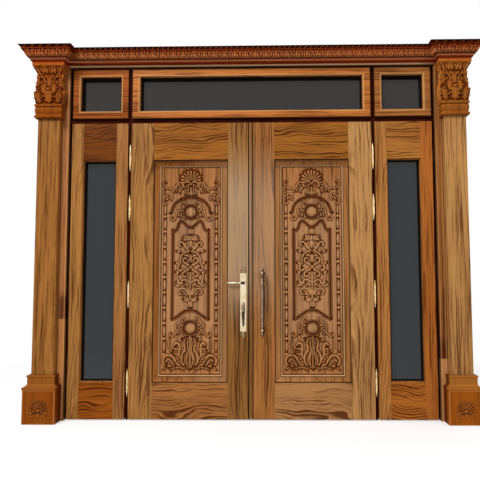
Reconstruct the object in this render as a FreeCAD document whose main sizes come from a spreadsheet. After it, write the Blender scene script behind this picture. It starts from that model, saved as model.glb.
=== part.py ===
import FreeCAD, Part
import math
import os
import re
import Sketcher

# Four-leaf wooden door with its frame: two carved main leaves between two narrow glazed
# side leaves, three fixed lights above them, and a carved surround of two pilasters and
# a cornice.  Millimetres.  +X is to the right seen from outside, +Y into the building,
# +Z up.  The origin is the middle of the footprint on the floor.
#
# Depths are given from the front face of the leaves, which lies at y = leaf_face.
# Pieces of the right-hand half are modelled, and the left-hand ones are their mirrors.

Vector = FreeCAD.Vector
doc = FreeCAD.newDocument("four_leaf_door")

# ---------------------------------------------------------------- driving dimensions

SIZES = {
    # leaves and lights, seen from the front
    "main_leaf_width": (893, "width of each carved main leaf"),
    "side_leaf_width": (421, "width of each glazed side leaf"),
    "leaf_height": (2180, "height of all four leaves"),
    "leaf_thickness": (68, "thickness of all four leaves"),
    "floor_gap": (8, "air under the leaves"),
    "meeting_gap": (4, "air between the two main leaves"),
    "mullion_gap": (28, "between a main leaf and a side leaf"),
    "side_gap": (17, "between a side leaf and its jamb"),
    "bar_gap": (40, "between the leaves and the lights above them"),
    "sash_height": (377, "height of the fixed lights"),
    "head_gap": (10, "between the lights and the frame head"),
    # rails and stiles
    "main_stile": (170, "width of a main leaf's stiles"),
    "side_stile": (85, "width of a side leaf's stiles"),
    "top_rail_height": (278, "top rails of all leaves"),
    "bottom_rail_height": (262, "bottom rails of all leaves"),
    "tenon_length": (40, "tenon on the end of a rail"),
    "tenon_thickness": (20, "tenon on the end of a rail"),
    "tenon_shoulder": (34, "rail edge to tenon"),
    "mortise_relief": (2, "mortise deeper than its tenon"),
    "edge_quirk": (4, "groove beside the bead on the left meeting stile"),
    "edge_quirk_depth": (6, "groove beside the bead on the left meeting stile"),
    "edge_bead": (15, "bead on the edge of the left meeting stile"),
    # carved panel and its moulding
    "panel_groove": (12, "depth of the groove round a panel"),
    "panel_tongue": (18, "thickness of the panel in its groove"),
    "panel_depth": (28, "leaf face to the panel's tongue"),
    "field_depth": (14, "leaf face to the panel's raised field"),
    "panel_slack": (1, "panel edge to the bottom of its groove"),
    "moulding_width": (60, "moulding round a panel"),
    "moulding_lip": (2, "moulding standing proud of the leaf"),
    "moulding_lip_width": (5, "flat rim of the moulding"),
    "moulding_bead": (10, "inner bead of the moulding"),
    "moulding_bead_rise": (6, "inner bead over the moulding's hollow"),
    "moulding_quirk": (4, "groove inside that bead"),
    "moulding_quirk_depth": (18, "leaf face to the bottom of that groove"),
    "moulding_heel": (6, "flat inner edge of the moulding"),
    "relief_low": (6, "height of the carved stems and leaves"),
    "relief_high": (10, "height of the carved shells and roundels"),
    "relief_margin": (16, "plain margin beside the carving"),
    "bead_radius": (9, "beads of the side chains, half their width"),
    # glass
    "glass_thickness": (6, "all panes"),
    "glass_depth": (50, "leaf face to the glass"),
    "glass_groove": (8, "depth of the groove round a pane"),
    "glass_slack": (1, "pane edge to the bottom of its groove"),
    "glass_bead": (16, "width of the sloping bead round a pane"),
    "glass_bead_top": (5, "leaf face to the bead's outer edge"),
    "glass_bead_foot": (32, "leaf face to the bead's inner edge"),
    "sash_face": (52, "flat face of a fixed light's frame"),
    "sash_glass_depth": (58, "leaf face to the glass of the fixed lights"),
    # frame
    "wall_setback": (12, "leaf face to the wall's face"),
    "frame_depth": (118, "depth of the frame in the wall"),
    "jamb_thickness": (45, "jambs and head"),
    "stop_width": (45, "rebate stop of jambs and head"),
    "stop_gap": (3, "back of the leaves to the stops"),
    "flange_cover": (25, "mullion and bar flange behind a leaf's edge"),
    "nose_recess": (20, "leaf face to the mullions' noses"),
    "hinge_side_gap": (8, "main leaf edge to the mullion's nose"),
    "free_side_gap": (5.5, "side leaf edge to the mullion's nose"),
    "bar_nose_gap": (5, "leaf top to the bar's nose"),
    "lap_depth": (30, "what the bar keeps where it crosses a mullion"),
    "anchor_radius": (5.25, "wall anchor holes in the jambs"),
    "anchor_front": (28, "leaf face to the front row of anchors"),
    "anchor_pitch": (28, "front row to back row of anchors"),
    "anchor_low": (300, "height of the lower anchors"),
    "anchor_rise": (2000, "lower to upper anchors"),
    # casing
    "casing_width": (55, "flat casing round the opening"),
    "casing_thickness": (25, "flat casing round the opening"),
    # pilasters
    "shaft_width": (161, "pilaster shaft"),
    "shaft_thickness": (75, "pilaster shaft from the wall"),
    "plinth_height": (240, "plinth block"),
    "plinth_reach": (36.5, "plinth beyond the shaft"),
    "plinth_front": (57, "plinth in front of the shaft"),
    "plinth_cap_height": (17, "cap of the plinth"),
    "plinth_cap_reach": (3.5, "cap beyond the plinth"),
    "base_height": (66, "base block between the caps"),
    "base_reach": (17.5, "base block beyond the shaft"),
    "base_front": (24, "base block in front of the shaft"),
    "base_flare": (14, "hollow at the foot of the base block, outwards"),
    "base_flare_height": (20, "hollow at the foot of the base block"),
    "base_cap_height": (14, "cap of the base block"),
    "base_cap_reach": (4.5, "cap beyond the base block"),
    "collar_height": (104, "collar under the capital"),
    "collar_reach": (22, "collar beyond the shaft"),
    "collar_fillet": (20, "top and bottom fillets of the collar"),
    "collar_waist": (12, "collar between its fillets, beyond the shaft"),
    "bell_height": (147, "leafy bell of the capital"),
    "bell_bulge": (20, "swelling of the bell"),
    "throat_height": (83, "throat between the bell and the abacus"),
    "throat_reach": (8, "throat beyond the shaft"),
    "leaf_relief": (7, "carved leaves on the capital and the plinth"),
    "relief_root": (3, "carved leaves sunk into their ground"),
    "volute_radius": (23, "corner volutes"),
    "abacus_flare": (56, "hollow of the abacus"),
    "abacus_slab": (18, "slab on the hollow"),
    "abacus_reach": (38, "abacus beyond the shaft at its top"),
    # cornice
    "cornice_rise": (17, "frame head's underside to the cornice's lower fillet"),
    "neck_height": (14, "cornice neck on the abacus"),
    "fillet_height": (13, "lower fillet"),
    "fillet_reach": (10, "lower fillet beyond the neck"),
    "cove_height": (13, "cove over the lower fillet"),
    "cove_reach": (18, "cove, outwards"),
    "band_height": (32, "carved band"),
    "band_reach": (12, "carved band, outwards"),
    "band_relief": (4, "carved leaves on the band"),
    "hollow_height": (12, "hollow over the band"),
    "hollow_reach": (20, "hollow, outwards"),
    "shelf_height": (12, "upper fillet"),
    "crown_height": (16, "carved crown edge"),
    "crown_reach": (18, "crown beyond the upper fillet"),
    "crown_notch": (7, "notches between the crown's leaf tips"),
    "break_forward": (65, "cornice over a pilaster in front of the middle"),
    "leaf_pitch": (74, "repeat of the carved band and crown"),
    # main hinges
    "barrel_radius": (7.5, "main hinge barrels"),
    "barrel_length": (132, "main hinge barrels"),
    "knuckle_gap": (0.6, "between the knuckles, both hinges"),
    "finial_length": (34, "pointed finials of the main hinges"),
    "pin_radius": (3.5, "hinge pins"),
    "pin_clearance": (0.05, "hinge pins in their knuckles"),
    "barrel_offset": (9, "leaf edge to the main hinge axis"),
    "plate_thickness": (3, "hinge plates"),
    "plate_depth": (36, "hinge plates, into the frame"),
    "plate_lap": (2, "leaf plates beginning inside the barrel's depth"),
    "hinge_inset": (262, "top and bottom hinges from the leaf's ends"),
    "hinge_pitch": (639, "from the bottom hinge to the next two"),
    # side hinges
    "side_barrel_radius": (6, "side hinge barrels"),
    "side_barrel_length": (100, "side hinge barrels"),
    "side_barrel_offset": (8, "leaf edge to the side hinge axis"),
    "side_pivot_depth": (7.5, "leaf face to the side hinge axis"),
    # furniture
    "handle_backset": (55, "leaf edge to the handle plate's middle"),
    "handle_width": (48, "handle plate"),
    "handle_thickness": (4, "handle plate"),
    "lever_height": (990, "lever axis above the floor"),
    "handle_drop": (352, "lever axis over the plain part of the handle plate's lower end"),
    "handle_length": (425, "plain part of the handle plate"),
    "handle_crest": (58, "ornament at each end of the plate"),
    "lever_length": (118, "lever arm"),
    "lever_reach": (30, "lever arm in front of the plate"),
    "hub_radius": (11, "lever hub"),
    "spindle_radius": (6, "round neck of the spindle"),
    "spindle_square": (8, "square spindle"),
    "spindle_clearance": (0.3, "round the spindle"),
    "turning_gap": (0.3, "between the hub and the plate"),
    "grip_drop": (318, "lever axis over the grip's lower end"),
    "grip_length": (180, "grip"),
    "grip_reach": (40, "grip axis in front of the leaf"),
    "grip_radius": (13, "grip at its top"),
    "grip_tail_radius": (8, "grip at its foot"),
    "pull_backset": (83, "leaf edge to the pull's axis"),
    "pull_foot": (596, "lower end of the pull"),
    "pull_length": (512, "turned pull"),
    "pull_reach": (50, "pull axis in front of the leaf"),
    "pull_radius": (9, "bar of the pull"),
    "pull_ball": (17, "balls near the ends of the pull"),
    "pull_ring": (20, "rings of the pull"),
    "post_radius": (7, "posts of the pull and the grip"),
    # lock
    "case_length": (85, "lock case into the stile"),
    "case_thickness": (20, "lock case"),
    "case_drop": (110, "lever axis over the lock case's lower end"),
    "case_height": (195, "lock case"),
    "forend_thickness": (3, "lock forend"),
    "forend_width": (24, "lock forend"),
    "forend_margin": (20, "forend beyond the case, up and down"),
    "bolt_height": (30, "lock bolt"),
    "bolt_thickness": (12, "lock bolt"),
    "bolt_length": (60, "lock bolt"),
    "bolt_drop": (60, "lever axis over the middle of the bolt"),
    "bolt_travel": (20, "throw of the bolt"),
    "bolt_clearance": (0.3, "round the bolt"),
    "keep_clearance": (1.5, "round the bolt in the other leaf"),
}

# Places that follow from the sizes.  Each is written once and used by name.
PLACES = {
    "hinge_edge": "meeting_gap / 2 + main_leaf_width",
    "side_inner": "hinge_edge + mullion_gap",
    "side_outer": "side_inner + side_leaf_width",
    "jamb_face": "side_outer + side_gap",
    "jamb_back": "jamb_face + jamb_thickness",
    "leaf_top": "floor_gap + leaf_height",
    "sash_bottom": "leaf_top + bar_gap",
    "sash_top": "sash_bottom + sash_height",
    "head_face": "sash_top + head_gap",
    "stop_face": "leaf_thickness + stop_gap",
    "frame_back": "wall_setback + frame_depth",
    "casing_front": "wall_setback - casing_thickness",
    "casing_outer": "jamb_face + casing_width",
    "casing_top": "head_face + casing_width",
    "pilaster_axis": "casing_outer + shaft_width / 2",
    "shaft_front": "wall_setback - shaft_thickness",
    "base_foot": "plinth_height + plinth_cap_height",
    "shaft_foot": "base_foot + base_height + base_cap_height",
    "fillet_foot": "head_face + cornice_rise",
    "neck_foot": "fillet_foot - neck_height",
    "slab_foot": "neck_foot - abacus_slab",
    "abacus_foot": "slab_foot - abacus_flare",
    "throat_foot": "abacus_foot - throat_height",
    "bell_foot": "throat_foot - bell_height",
    "collar_foot": "bell_foot - collar_height",
    "cove_foot": "fillet_foot + fillet_height",
    "band_foot": "cove_foot + cove_height",
    "hollow_foot": "band_foot + band_height",
    "shelf_foot": "hollow_foot + hollow_height",
    "crown_foot": "shelf_foot + shelf_height",
    "cornice_top": "crown_foot + crown_height",
    "cove_start": "fillet_reach",
    "band_start": "cove_start + cove_reach",
    "hollow_start": "band_start + band_reach",
    "shelf_start": "hollow_start + hollow_reach",
    "crown_end": "shelf_start + crown_reach",
    "block_front": "shaft_front - abacus_reach",
    "middle_front": "block_front + break_forward",
    "leaf_face": "(crown_end - block_front - frame_back) / 2",
    "nose_inner": "hinge_edge + hinge_side_gap",
    "nose_outer": "side_inner - free_side_gap",
    "flange_inner": "hinge_edge - flange_cover",
    "flange_outer": "side_inner + flange_cover",
    "bar_flange_foot": "leaf_top - flange_cover",
    "bar_flange_top": "sash_bottom + flange_cover",
    "lap_face": "frame_back - lap_depth",
    "opening_foot": "floor_gap + bottom_rail_height",
    "opening_top": "leaf_top - top_rail_height",
    "main_opening_inner": "meeting_gap / 2 + main_stile",
    "main_opening_outer": "hinge_edge - main_stile",
    "side_opening_inner": "side_inner + side_stile",
    "side_opening_outer": "side_outer - side_stile",
    "panel_axis": "(main_opening_inner + main_opening_outer) / 2",
    "tenon_face": "(leaf_thickness - tenon_thickness) / 2",
    "handle_axis": "meeting_gap / 2 + handle_backset",
    "pull_axis": "meeting_gap / 2 + pull_backset",
    "handle_foot": "lever_height - handle_drop",
    "grip_foot": "lever_height - grip_drop",
    "case_foot": "lever_height - case_drop",
    "bolt_level": "lever_height - bolt_drop",
    "case_face": "(leaf_thickness - case_thickness) / 2",
    "bolt_face": "(leaf_thickness - bolt_thickness) / 2",
}

sheet = doc.addObject("Spreadsheet::Sheet", "Sizes")
for row, (alias, (value, meaning)) in enumerate(SIZES.items(), start=1):
    sheet.set(f"A{row}", meaning)
    sheet.set(f"B{row}", str(value))
    sheet.setAlias(f"B{row}", alias)
doc.recompute()


def bind(text):
    """Writes a formula of named sizes and places as one that reads the sheet."""
    def word(match):
        name = match.group(0)
        if name in PLACES:
            return "(" + bind(PLACES[name]) + ")"
        return "Sizes." + name if name in SIZES else name
    return re.sub(r"[a-z_]+", word, str(text))


def size(text):
    """The value of a formula of named sizes and places."""
    return float(sheet.evalExpression(bind(text)))


LEAF_FACE = size("leaf_face")
nodes = {}


def node(name, piece):
    """Registers a sub-part under its own name."""
    piece.Label = name
    nodes[name] = piece
    return piece


def twin(name, piece):
    """The left-hand twin of a right-hand piece."""
    other = doc.addObject("Part::Mirroring", name)
    other.Source = piece
    other.Normal = Vector(1, 0, 0)
    return other


def pair(name, piece):
    """Registers a right-hand sub-part and its left-hand twin."""
    node("right_" + name, piece)
    node("left_" + name, twin("left_" + name, piece))


# ---------------------------------------------------------------- building blocks

def box(name, x, y, z):
    """A block between two formulas along each axis; y is a depth from the leaf face."""
    block = doc.addObject("Part::Box", name)
    for side, axis, (low, high) in (("Length", "x", x), ("Width", "y", y), ("Height", "z", z)):
        block.setExpression(side, bind(f"({high}) - ({low})"))
        start = f"({low}) + leaf_face" if axis == "y" else low
        block.setExpression("Placement.Base." + axis, bind(start))
    return block


def cylinder(name, radius, length, centre, turn=(0, 0, 0)):
    """A rod from its centre point; turn is yaw, pitch and roll in degrees."""
    rod = doc.addObject("Part::Cylinder", name)
    rod.setExpression("Radius", bind(radius))
    rod.setExpression("Height", bind(length))
    rod.Placement.Rotation = FreeCAD.Rotation(*turn)
    for axis, place in zip("xyz", centre):
        start = f"({place}) + leaf_face" if axis == "y" else place
        rod.setExpression("Placement.Base." + axis, bind(start))
    return rod


def joined(name, pieces):
    result = doc.addObject("Part::MultiFuse", name)
    result.Shapes = pieces
    result.Refine = True
    return result


def cut(name, piece, tool):
    result = doc.addObject("Part::Cut", name)
    result.Base = piece
    result.Tool = tool
    result.Refine = True
    return result


def cut_by(name, piece, tools):
    """Cuts several tools from a piece, one after the other."""
    for count, tool in enumerate(tools, start=1):
        piece = cut(f"{name}_{count}", piece, tool)
    return piece


def padded(name, plane, outline, start, length):
    """A body padded from a sketch whose corners are all tied to the sheet."""
    body = doc.addObject("PartDesign::Body", name)
    sketch = body.newObject("Sketcher::SketchObject", name + "_outline")
    sketch.AttachmentSupport = [(next(f for f in body.Origin.OriginFeatures if f.Role == plane), "")]
    sketch.MapMode = "FlatFace"
    sketch.setExpression("AttachmentOffset.Base.z", bind(start))
    corners = [(size(a), size(b)) for a, b in outline]
    last = len(corners) - 1
    for index, (a, b) in enumerate(corners):
        c, d = corners[0 if index == last else index + 1]
        sketch.addGeometry(Part.LineSegment(Vector(a, b, 0), Vector(c, d, 0)))
    for index in range(len(corners)):
        following = 0 if index == last else index + 1
        sketch.addConstraint(Sketcher.Constraint("Coincident", index, 2, following, 1))
    for index, formulas in enumerate(outline):
        for kind, formula, value in zip(("DistanceX", "DistanceY"), formulas, corners[index]):
            tie = sketch.addConstraint(Sketcher.Constraint(kind, -1, 1, index, 1, value))
            sketch.setExpression(f"Constraints[{tie}]", bind(formula))
    pad = body.newObject("PartDesign::Pad", name + "_pad")
    pad.Profile = sketch
    pad.setExpression("Length", bind(length))
    body.Tip = pad
    return body


def upright(name, outline, foot, top):
    """A member padded upwards from its plan; the outline holds (x, depth) formulas."""
    plan = [(x, f"({y}) + leaf_face") for x, y in outline]
    return padded(name, "XY_Plane", plan, foot, f"({top}) - ({foot})")


def crosswise(name, outline, left, right):
    """A member padded along X from its section; the outline holds (depth, height) formulas."""
    section = [(f"({y}) + leaf_face", z) for y, z in outline]
    return padded(name, "YZ_Plane", section, left, f"({right}) - ({left})")


def flatwise(name, outline, front, back):
    """A board padded through its thickness; the outline holds (x, height) formulas."""
    return padded(name, "XZ_Plane", outline, f"-(({back}) + leaf_face)", f"({back}) - ({front})")


def shaped(name, shape):
    """A sub-part whose shape is made by Part's own functions."""
    feature = doc.addObject("Part::Feature", name)
    feature.Shape = shape
    return feature


def fused(shapes):
    whole = shapes[0].multiFuse(shapes[1:]) if len(shapes) > 1 else shapes[0]
    whole = whole.removeSplitter()
    return whole.Solids[0] if len(whole.Solids) == 1 else whole


def mitred(x, z, profile):
    """A mitred rectangular frame.  The profile is a closed loop of (inset, depth)."""
    def loop(inset, depth):
        y = depth + LEAF_FACE
        corners = ((x[0] + inset, z[0] + inset), (x[1] - inset, z[0] + inset),
                   (x[1] - inset, z[1] - inset), (x[0] + inset, z[1] - inset))
        return [Vector(a, y, b) for a, b in corners]
    loops = [loop(inset, depth) for inset, depth in profile]
    faces = []
    for index, near in enumerate(loops):
        far = loops[(index + 1) % len(loops)]
        for side in range(4):
            after = (side + 1) % 4
            ring = [near[side], near[after], far[after], far[side], near[side]]
            faces.append(Part.Face(Part.makePolygon(ring)))
    solid = Part.makeSolid(Part.makeShell(faces))
    if solid.Volume < 0:
        solid.reverse()
    return solid.removeSplitter()


def turned(x, y, profile):
    """A turned piece about an upright axis; the profile is a list of (height, radius)."""
    centre = Vector(x, y + LEAF_FACE, 0)
    outline = [(profile[0][0], 0)] + profile + [(profile[-1][0], 0)]
    points = [centre + Vector(radius, 0, height) for height, radius in outline]
    face = Part.Face(Part.makePolygon(points + points[:1]))
    return face.revolve(centre, Vector(0, 0, 1), 360)


def stepped(axis, half, front, back, levels):
    """A block that steps out on its front and both sides, the back staying flat.
    Each level is (foot, reach at the foot, top, reach at the top)."""
    def outline(height, reach):
        low, high = axis - half - reach, axis + half + reach
        near, far = front - reach + LEAF_FACE, back + LEAF_FACE
        corners = [(low, near), (high, near), (high, far), (low, far), (low, near)]
        return Part.makePolygon([Vector(a, b, height) for a, b in corners])
    courses = [Part.makeLoft([outline(foot, reach), outline(top, reach_top)], True, True)
               for foot, reach, top, reach_top in levels]
    return fused(courses)


def hollowed(foot, reach, top, reach_top, steps=4):
    """Levels of a cove: steep at its foot, flat at its top."""
    turns = [math.pi / 2 * k / steps for k in range(steps + 1)]
    points = [(foot + (top - foot) * math.sin(t), reach + (reach_top - reach) * (1 - math.cos(t)))
              for t in turns]
    return [(a, r, b, q) for (a, r), (b, q) in zip(points, points[1:])]


def swelled(foot, top, reach, bulge, steps=6):
    """Levels of a swelling between two equal ends."""
    points = [(foot + (top - foot) * k / steps, reach + bulge * math.sin(math.pi * k / steps))
              for k in range(steps + 1)]
    return [(a, r, b, q) for (a, r), (b, q) in zip(points, points[1:])]


# ---------------------------------------------------------------- carving
# Carved shapes are flat outlines, drawn in x and z on a face and raised from it.

def disc(x, z, radius):
    return Part.Face(Part.Wire(Part.makeCircle(radius, Vector(x, 0, z), Vector(0, -1, 0))))


def hoop(x, z, radius, width, start=0, end=360):
    """A ring, or a part of one, centred on its radius.  Angles from +x towards +z."""
    outer, inner = radius + width / 2, radius - width / 2
    if end - start >= 360:
        return disc(x, z, outer).cut(disc(x, z, inner))

    def at(r, degrees):
        turn = math.radians(degrees)
        return Vector(x + r * math.cos(turn), 0, z + r * math.sin(turn))
    middle = (start + end) / 2
    edges = [Part.Arc(at(outer, start), at(outer, middle), at(outer, end)).toShape(),
             Part.makeLine(at(outer, end), at(inner, end)),
             Part.Arc(at(inner, end), at(inner, middle), at(inner, start)).toShape(),
             Part.makeLine(at(inner, start), at(outer, start))]
    return Part.Face(Part.Wire(edges))


def blade(x, z, angle, length, width):
    """A pointed leaf that grows from a point, made of two arcs."""
    turn = math.radians(angle)
    along, across = Vector(math.cos(turn), 0, math.sin(turn)), Vector(-math.sin(turn), 0, math.cos(turn))
    root = Vector(x, 0, z)
    tip = root + along * length
    middle = root + along * length * 0.55
    edges = [Part.Arc(root, middle + across * width / 2, tip).toShape(),
             Part.Arc(tip, middle - across * width / 2, root).toShape()]
    return Part.Face(Part.Wire(edges))


def strip(x, z, end_x, end_z, width):
    """A straight band between two points."""
    start, end = Vector(x, 0, z), Vector(end_x, 0, end_z)
    along = (end - start).normalize()
    across = Vector(-along.z, 0, along.x) * width / 2
    corners = [start - across, end - across, end + across, start + across, start - across]
    return Part.Face(Part.makePolygon(corners))


def lozenge(x, z, width, height):
    """A bead's outline, cut with four straight sides."""
    corners = [Vector(x + a * width / 2, 0, z + b * height / 2) for a, b in ((1, 0), (0, 1), (-1, 0), (0, -1), (1, 0))]
    return Part.Face(Part.makePolygon(corners))


def fan(x, z, radius, width, petals, spread):
    """Petals spread evenly about straight up."""
    step = spread / (petals - 1)
    return [blade(x, z, 90 - spread / 2 + step * k, radius, width) for k in range(petals)]


def both_sides(faces, axis):
    """The faces and their mirror images about x = axis."""
    return faces + [face.mirror(Vector(axis, 0, 0), Vector(1, 0, 0)) for face in faces]


def raised(faces, front, back):
    """Solids that raise flat outlines from a back depth to a front depth."""
    sheet_faces = faces[0].multiFuse(faces[1:]).removeSplitter().Faces
    solids = []
    for face in sheet_faces:
        face.translate(Vector(0, back + LEAF_FACE, 0))
        solids.append(face.extrude(Vector(0, front - back, 0)))
    return solids


# ---------------------------------------------------------------- frame and casing

def frame():
    """Jambs, head, mullions and transom bar: one rebated frame, halved where bars cross."""
    stop = "jamb_face - stop_width"
    jamb = upright("jamb_section", [
        ("jamb_face", "wall_setback"), ("jamb_back", "wall_setback"), ("jamb_back", "frame_back"),
        (stop, "frame_back"), (stop, "stop_face"), ("jamb_face", "stop_face")], "0", "head_face")
    anchors = []
    for row in range(2):
        for level in range(2):
            centre = ("jamb_face - stop_width", f"anchor_front + {row} * anchor_pitch",
                      f"anchor_low + {level} * anchor_rise")
            reach = "jamb_thickness + 2 * stop_width"
            anchors.append(cylinder(f"anchor_{row}_{level}", "anchor_radius", reach, centre, (0, 90, 0)))
    pair("jamb", cut("jamb", jamb, joined("anchors", anchors)))

    head = [box("head_board", ("-(jamb_back)", "jamb_back"), ("wall_setback", "frame_back"),
                ("head_face", "head_face + jamb_thickness"))]
    stops = (("left", f"-({stop})", "-(flange_outer)"), ("middle", "-(flange_inner)", "flange_inner"),
             ("right", "flange_outer", stop))
    for side, low, high in stops:
        head.append(box(f"head_stop_{side}", (low, high), ("stop_face", "frame_back"),
                        ("head_face - stop_width", "head_face")))
    node("frame_head", joined("head_and_stops", head))

    nose = ("nose_recess", "stop_face")
    mullion = upright("mullion_section", [
        ("nose_inner", nose[0]), ("nose_outer", nose[0]), ("nose_outer", nose[1]),
        ("flange_outer", nose[1]), ("flange_outer", "frame_back"), ("flange_inner", "frame_back"),
        ("flange_inner", nose[1]), ("nose_inner", nose[1])], "0", "head_face")
    halving = box("mullion_halving", ("flange_inner", "flange_outer"), ("lap_face", "frame_back"),
                  ("bar_flange_foot", "bar_flange_top"))
    pair("mullion", cut("mullion", mullion, halving))

    bar = [box("bar_lap", (f"-({stop})", stop), ("lap_face", "frame_back"),
               ("bar_flange_foot", "bar_flange_top"))]
    for side, low, high in stops:
        bar.append(box(f"bar_flange_{side}", (low, high), ("stop_face", "lap_face"),
                       ("bar_flange_foot", "bar_flange_top")))
    noses = (("left", "-(jamb_face)", "-(nose_outer)"), ("middle", "-(nose_inner)", "nose_inner"),
             ("right", "nose_outer", "jamb_face"))
    for side, low, high in noses:
        bar.append(box(f"bar_nose_{side}", (low, high), nose,
                       ("leaf_top + bar_nose_gap", "sash_bottom")))
    node("transom_bar", joined("bar_parts", bar))


def casings():
    side = flatwise("side_casing", [
        ("jamb_face", "0"), ("casing_outer", "0"), ("casing_outer", "casing_top"),
        ("jamb_face", "head_face")], "casing_front", "wall_setback")
    pair("casing", side)
    node("head_casing", flatwise("top_casing", [
        ("-(jamb_face)", "head_face"), ("jamb_face", "head_face"), ("casing_outer", "casing_top"),
        ("-(casing_outer)", "casing_top")], "casing_front", "wall_setback"))


# ---------------------------------------------------------------- pilasters

def plinth_shell():
    """A fan of petals over a pair of curls, raised on the plinth's front."""
    axis, middle = size("pilaster_axis"), size("plinth_height / 2")
    reach = size("shaft_width / 2 - 12")
    faces = fan(axis, middle - 0.25 * reach, 1.15 * reach, 0.24 * reach, 9, 190)
    curls = [disc(axis + 0.55 * reach, middle - 0.55 * reach, 0.2 * reach),
             blade(axis, middle - 0.75 * reach, 15, 0.8 * reach, 0.2 * reach)]
    knots = [disc(axis, middle - 0.3 * reach, 0.22 * reach), disc(axis, middle - 0.75 * reach, 0.1 * reach)]
    face = size("shaft_front - plinth_front")
    return raised(faces + knots + both_sides(curls, axis), face - size("leaf_relief"), face + size("relief_root"))


def pedestal():
    axis, back = size("pilaster_axis"), size("wall_setback")
    half, front = size("shaft_width / 2 + plinth_reach"), size("shaft_front - plinth_front")
    reach = size("plinth_cap_reach")
    plinth = stepped(axis, half, front, back, [
        (0, 0, size("plinth_height"), 0),
        (size("plinth_height"), reach, size("base_foot"), reach)])
    half, front = size("shaft_width / 2 + base_reach"), size("shaft_front - base_front")
    foot, top, reach = size("base_foot"), size("shaft_foot"), size("base_cap_reach")
    flare_top, block_top = size("base_foot + base_flare_height"), size("base_foot + base_height")
    base = stepped(axis, half, front, back,
                   hollowed(flare_top, 0, foot, size("base_flare"))
                   + [(flare_top, 0, block_top, 0), (block_top, reach, top, reach)])
    return fused([plinth, base] + plinth_shell())


def capital_leaves():
    """Two tiers of pointed leaves and a volute at each corner, on the front of the bell."""
    axis, front = size("pilaster_axis"), size("shaft_front - throat_reach")
    foot, height, bulge = size("bell_foot"), size("bell_height"), size("bell_bulge + leaf_relief")
    half, root = size("shaft_width / 2 + throat_reach"), size("relief_root")
    low = [blade(axis, foot - root, 90, height, half),
           blade(axis + 0.75 * half, foot - root, 96, 0.9 * height, 0.6 * half)]
    solids = raised(both_sides(low, axis), front - bulge, front + root)
    throat, rise = size("throat_foot"), size("throat_height + abacus_flare")
    high = [blade(axis, throat - 0.2 * height, 90, rise, 0.6 * half),
            blade(axis + 0.2 * half, throat - 0.2 * height, 62, rise, 0.4 * half)]
    solids += raised(both_sides(high, axis), front - bulge / 2, front + root)
    radius = size("volute_radius")
    curl = [disc(axis + half - radius / 2, size("abacus_foot") - radius, radius)]
    return solids + raised(both_sides(curl, axis), front - bulge, front + radius)


def capital():
    axis, front, back = size("pilaster_axis"), size("shaft_front"), size("wall_setback")
    foot, bell, throat = size("collar_foot"), size("bell_foot"), size("throat_foot")
    fillet, reach, waist = size("collar_fillet"), size("collar_reach"), size("collar_waist")
    neck, abacus, slab = size("throat_reach"), size("abacus_foot"), size("slab_foot")
    out = size("abacus_reach")
    body = stepped(axis, size("shaft_width / 2"), front, back,
                   [(foot, reach, foot + fillet, reach)]
                   + swelled(foot + fillet, bell - fillet, waist, reach - waist)
                   + [(bell - fillet, reach, bell, reach)]
                   + swelled(bell, throat, neck, size("bell_bulge"))
                   + [(throat, neck, abacus, neck)]
                   + hollowed(abacus, neck, slab, out)
                   + [(slab, out, size("neck_foot"), out)])
    return fused([body] + capital_leaves())


def pilasters():
    """Each carved piece runs back to the wall and is notched over the flat casing."""
    casing_shapes = [nodes["right_casing"], nodes["head_casing"]]
    pair("pedestal", cut("pedestal", shaped("pedestal_block", pedestal()), casing_shapes[0]))
    pair("shaft", box("shaft", ("casing_outer", "casing_outer + shaft_width"),
                      ("shaft_front", "wall_setback"), ("shaft_foot", "collar_foot")))
    pair("capital", cut_by("capital", shaped("capital_block", capital()), casing_shapes))


# ---------------------------------------------------------------- cornice

def cornice_levels(foot):
    """The cornice's profile as levels: fillet, cove, carved band, hollow, shelf, crown."""
    fillet, cove, band = size("fillet_reach"), size("cove_foot"), size("band_foot")
    hollow, shelf, crown = size("hollow_foot"), size("shelf_foot"), size("crown_foot")
    start, band_out, hollow_out = size("band_start"), size("hollow_start"), size("shelf_start")
    levels = [(foot, 0, size("fillet_foot"), 0)] if foot < size("fillet_foot") else []
    return (levels + [(size("fillet_foot"), fillet, cove, fillet)]
            + hollowed(cove, fillet, band, start)
            + [(band, start, hollow, band_out)]
            + hollowed(hollow, band_out, shelf, hollow_out)
            + [(shelf, hollow_out, crown, hollow_out)]
            + [(crown, hollow_out, size("cornice_top"), size("crown_end"))])


def carved_row(left, right, front):
    """Leaves and darts along the band, and notches between the crown's leaf tips."""
    foot, height = size("band_foot"), size("band_height")
    count = max(1, round((right - left) / size("leaf_pitch")))
    pitch = (right - left) / count
    leaves, notches = [], []
    radius, drop = size("crown_notch"), size("crown_height")
    for index in range(count):
        middle = left + pitch * (index + 0.5)
        leaves.append(blade(middle, foot + height, -90, height, 0.62 * pitch))
        corner = Vector(middle - pitch / 2, LEAF_FACE + front - size("crown_end"), size("crown_foot"))
        way = [Vector(-radius, 0, 0), Vector(0, radius, 0), Vector(radius, 0, 0), Vector(0, -radius, 0)]
        outline = Part.makePolygon([corner + step for step in way + way[:1]])
        notches.append(Part.Face(outline).extrude(Vector(0, 0, drop)))
        if index:
            leaves.append(strip(middle - pitch / 2, foot + 0.15 * height,
                                middle - pitch / 2, foot + 0.85 * height, 0.1 * pitch))
    face = front - size("hollow_start")
    return raised(leaves, face - size("band_relief"), front - size("band_start")), notches


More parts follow.
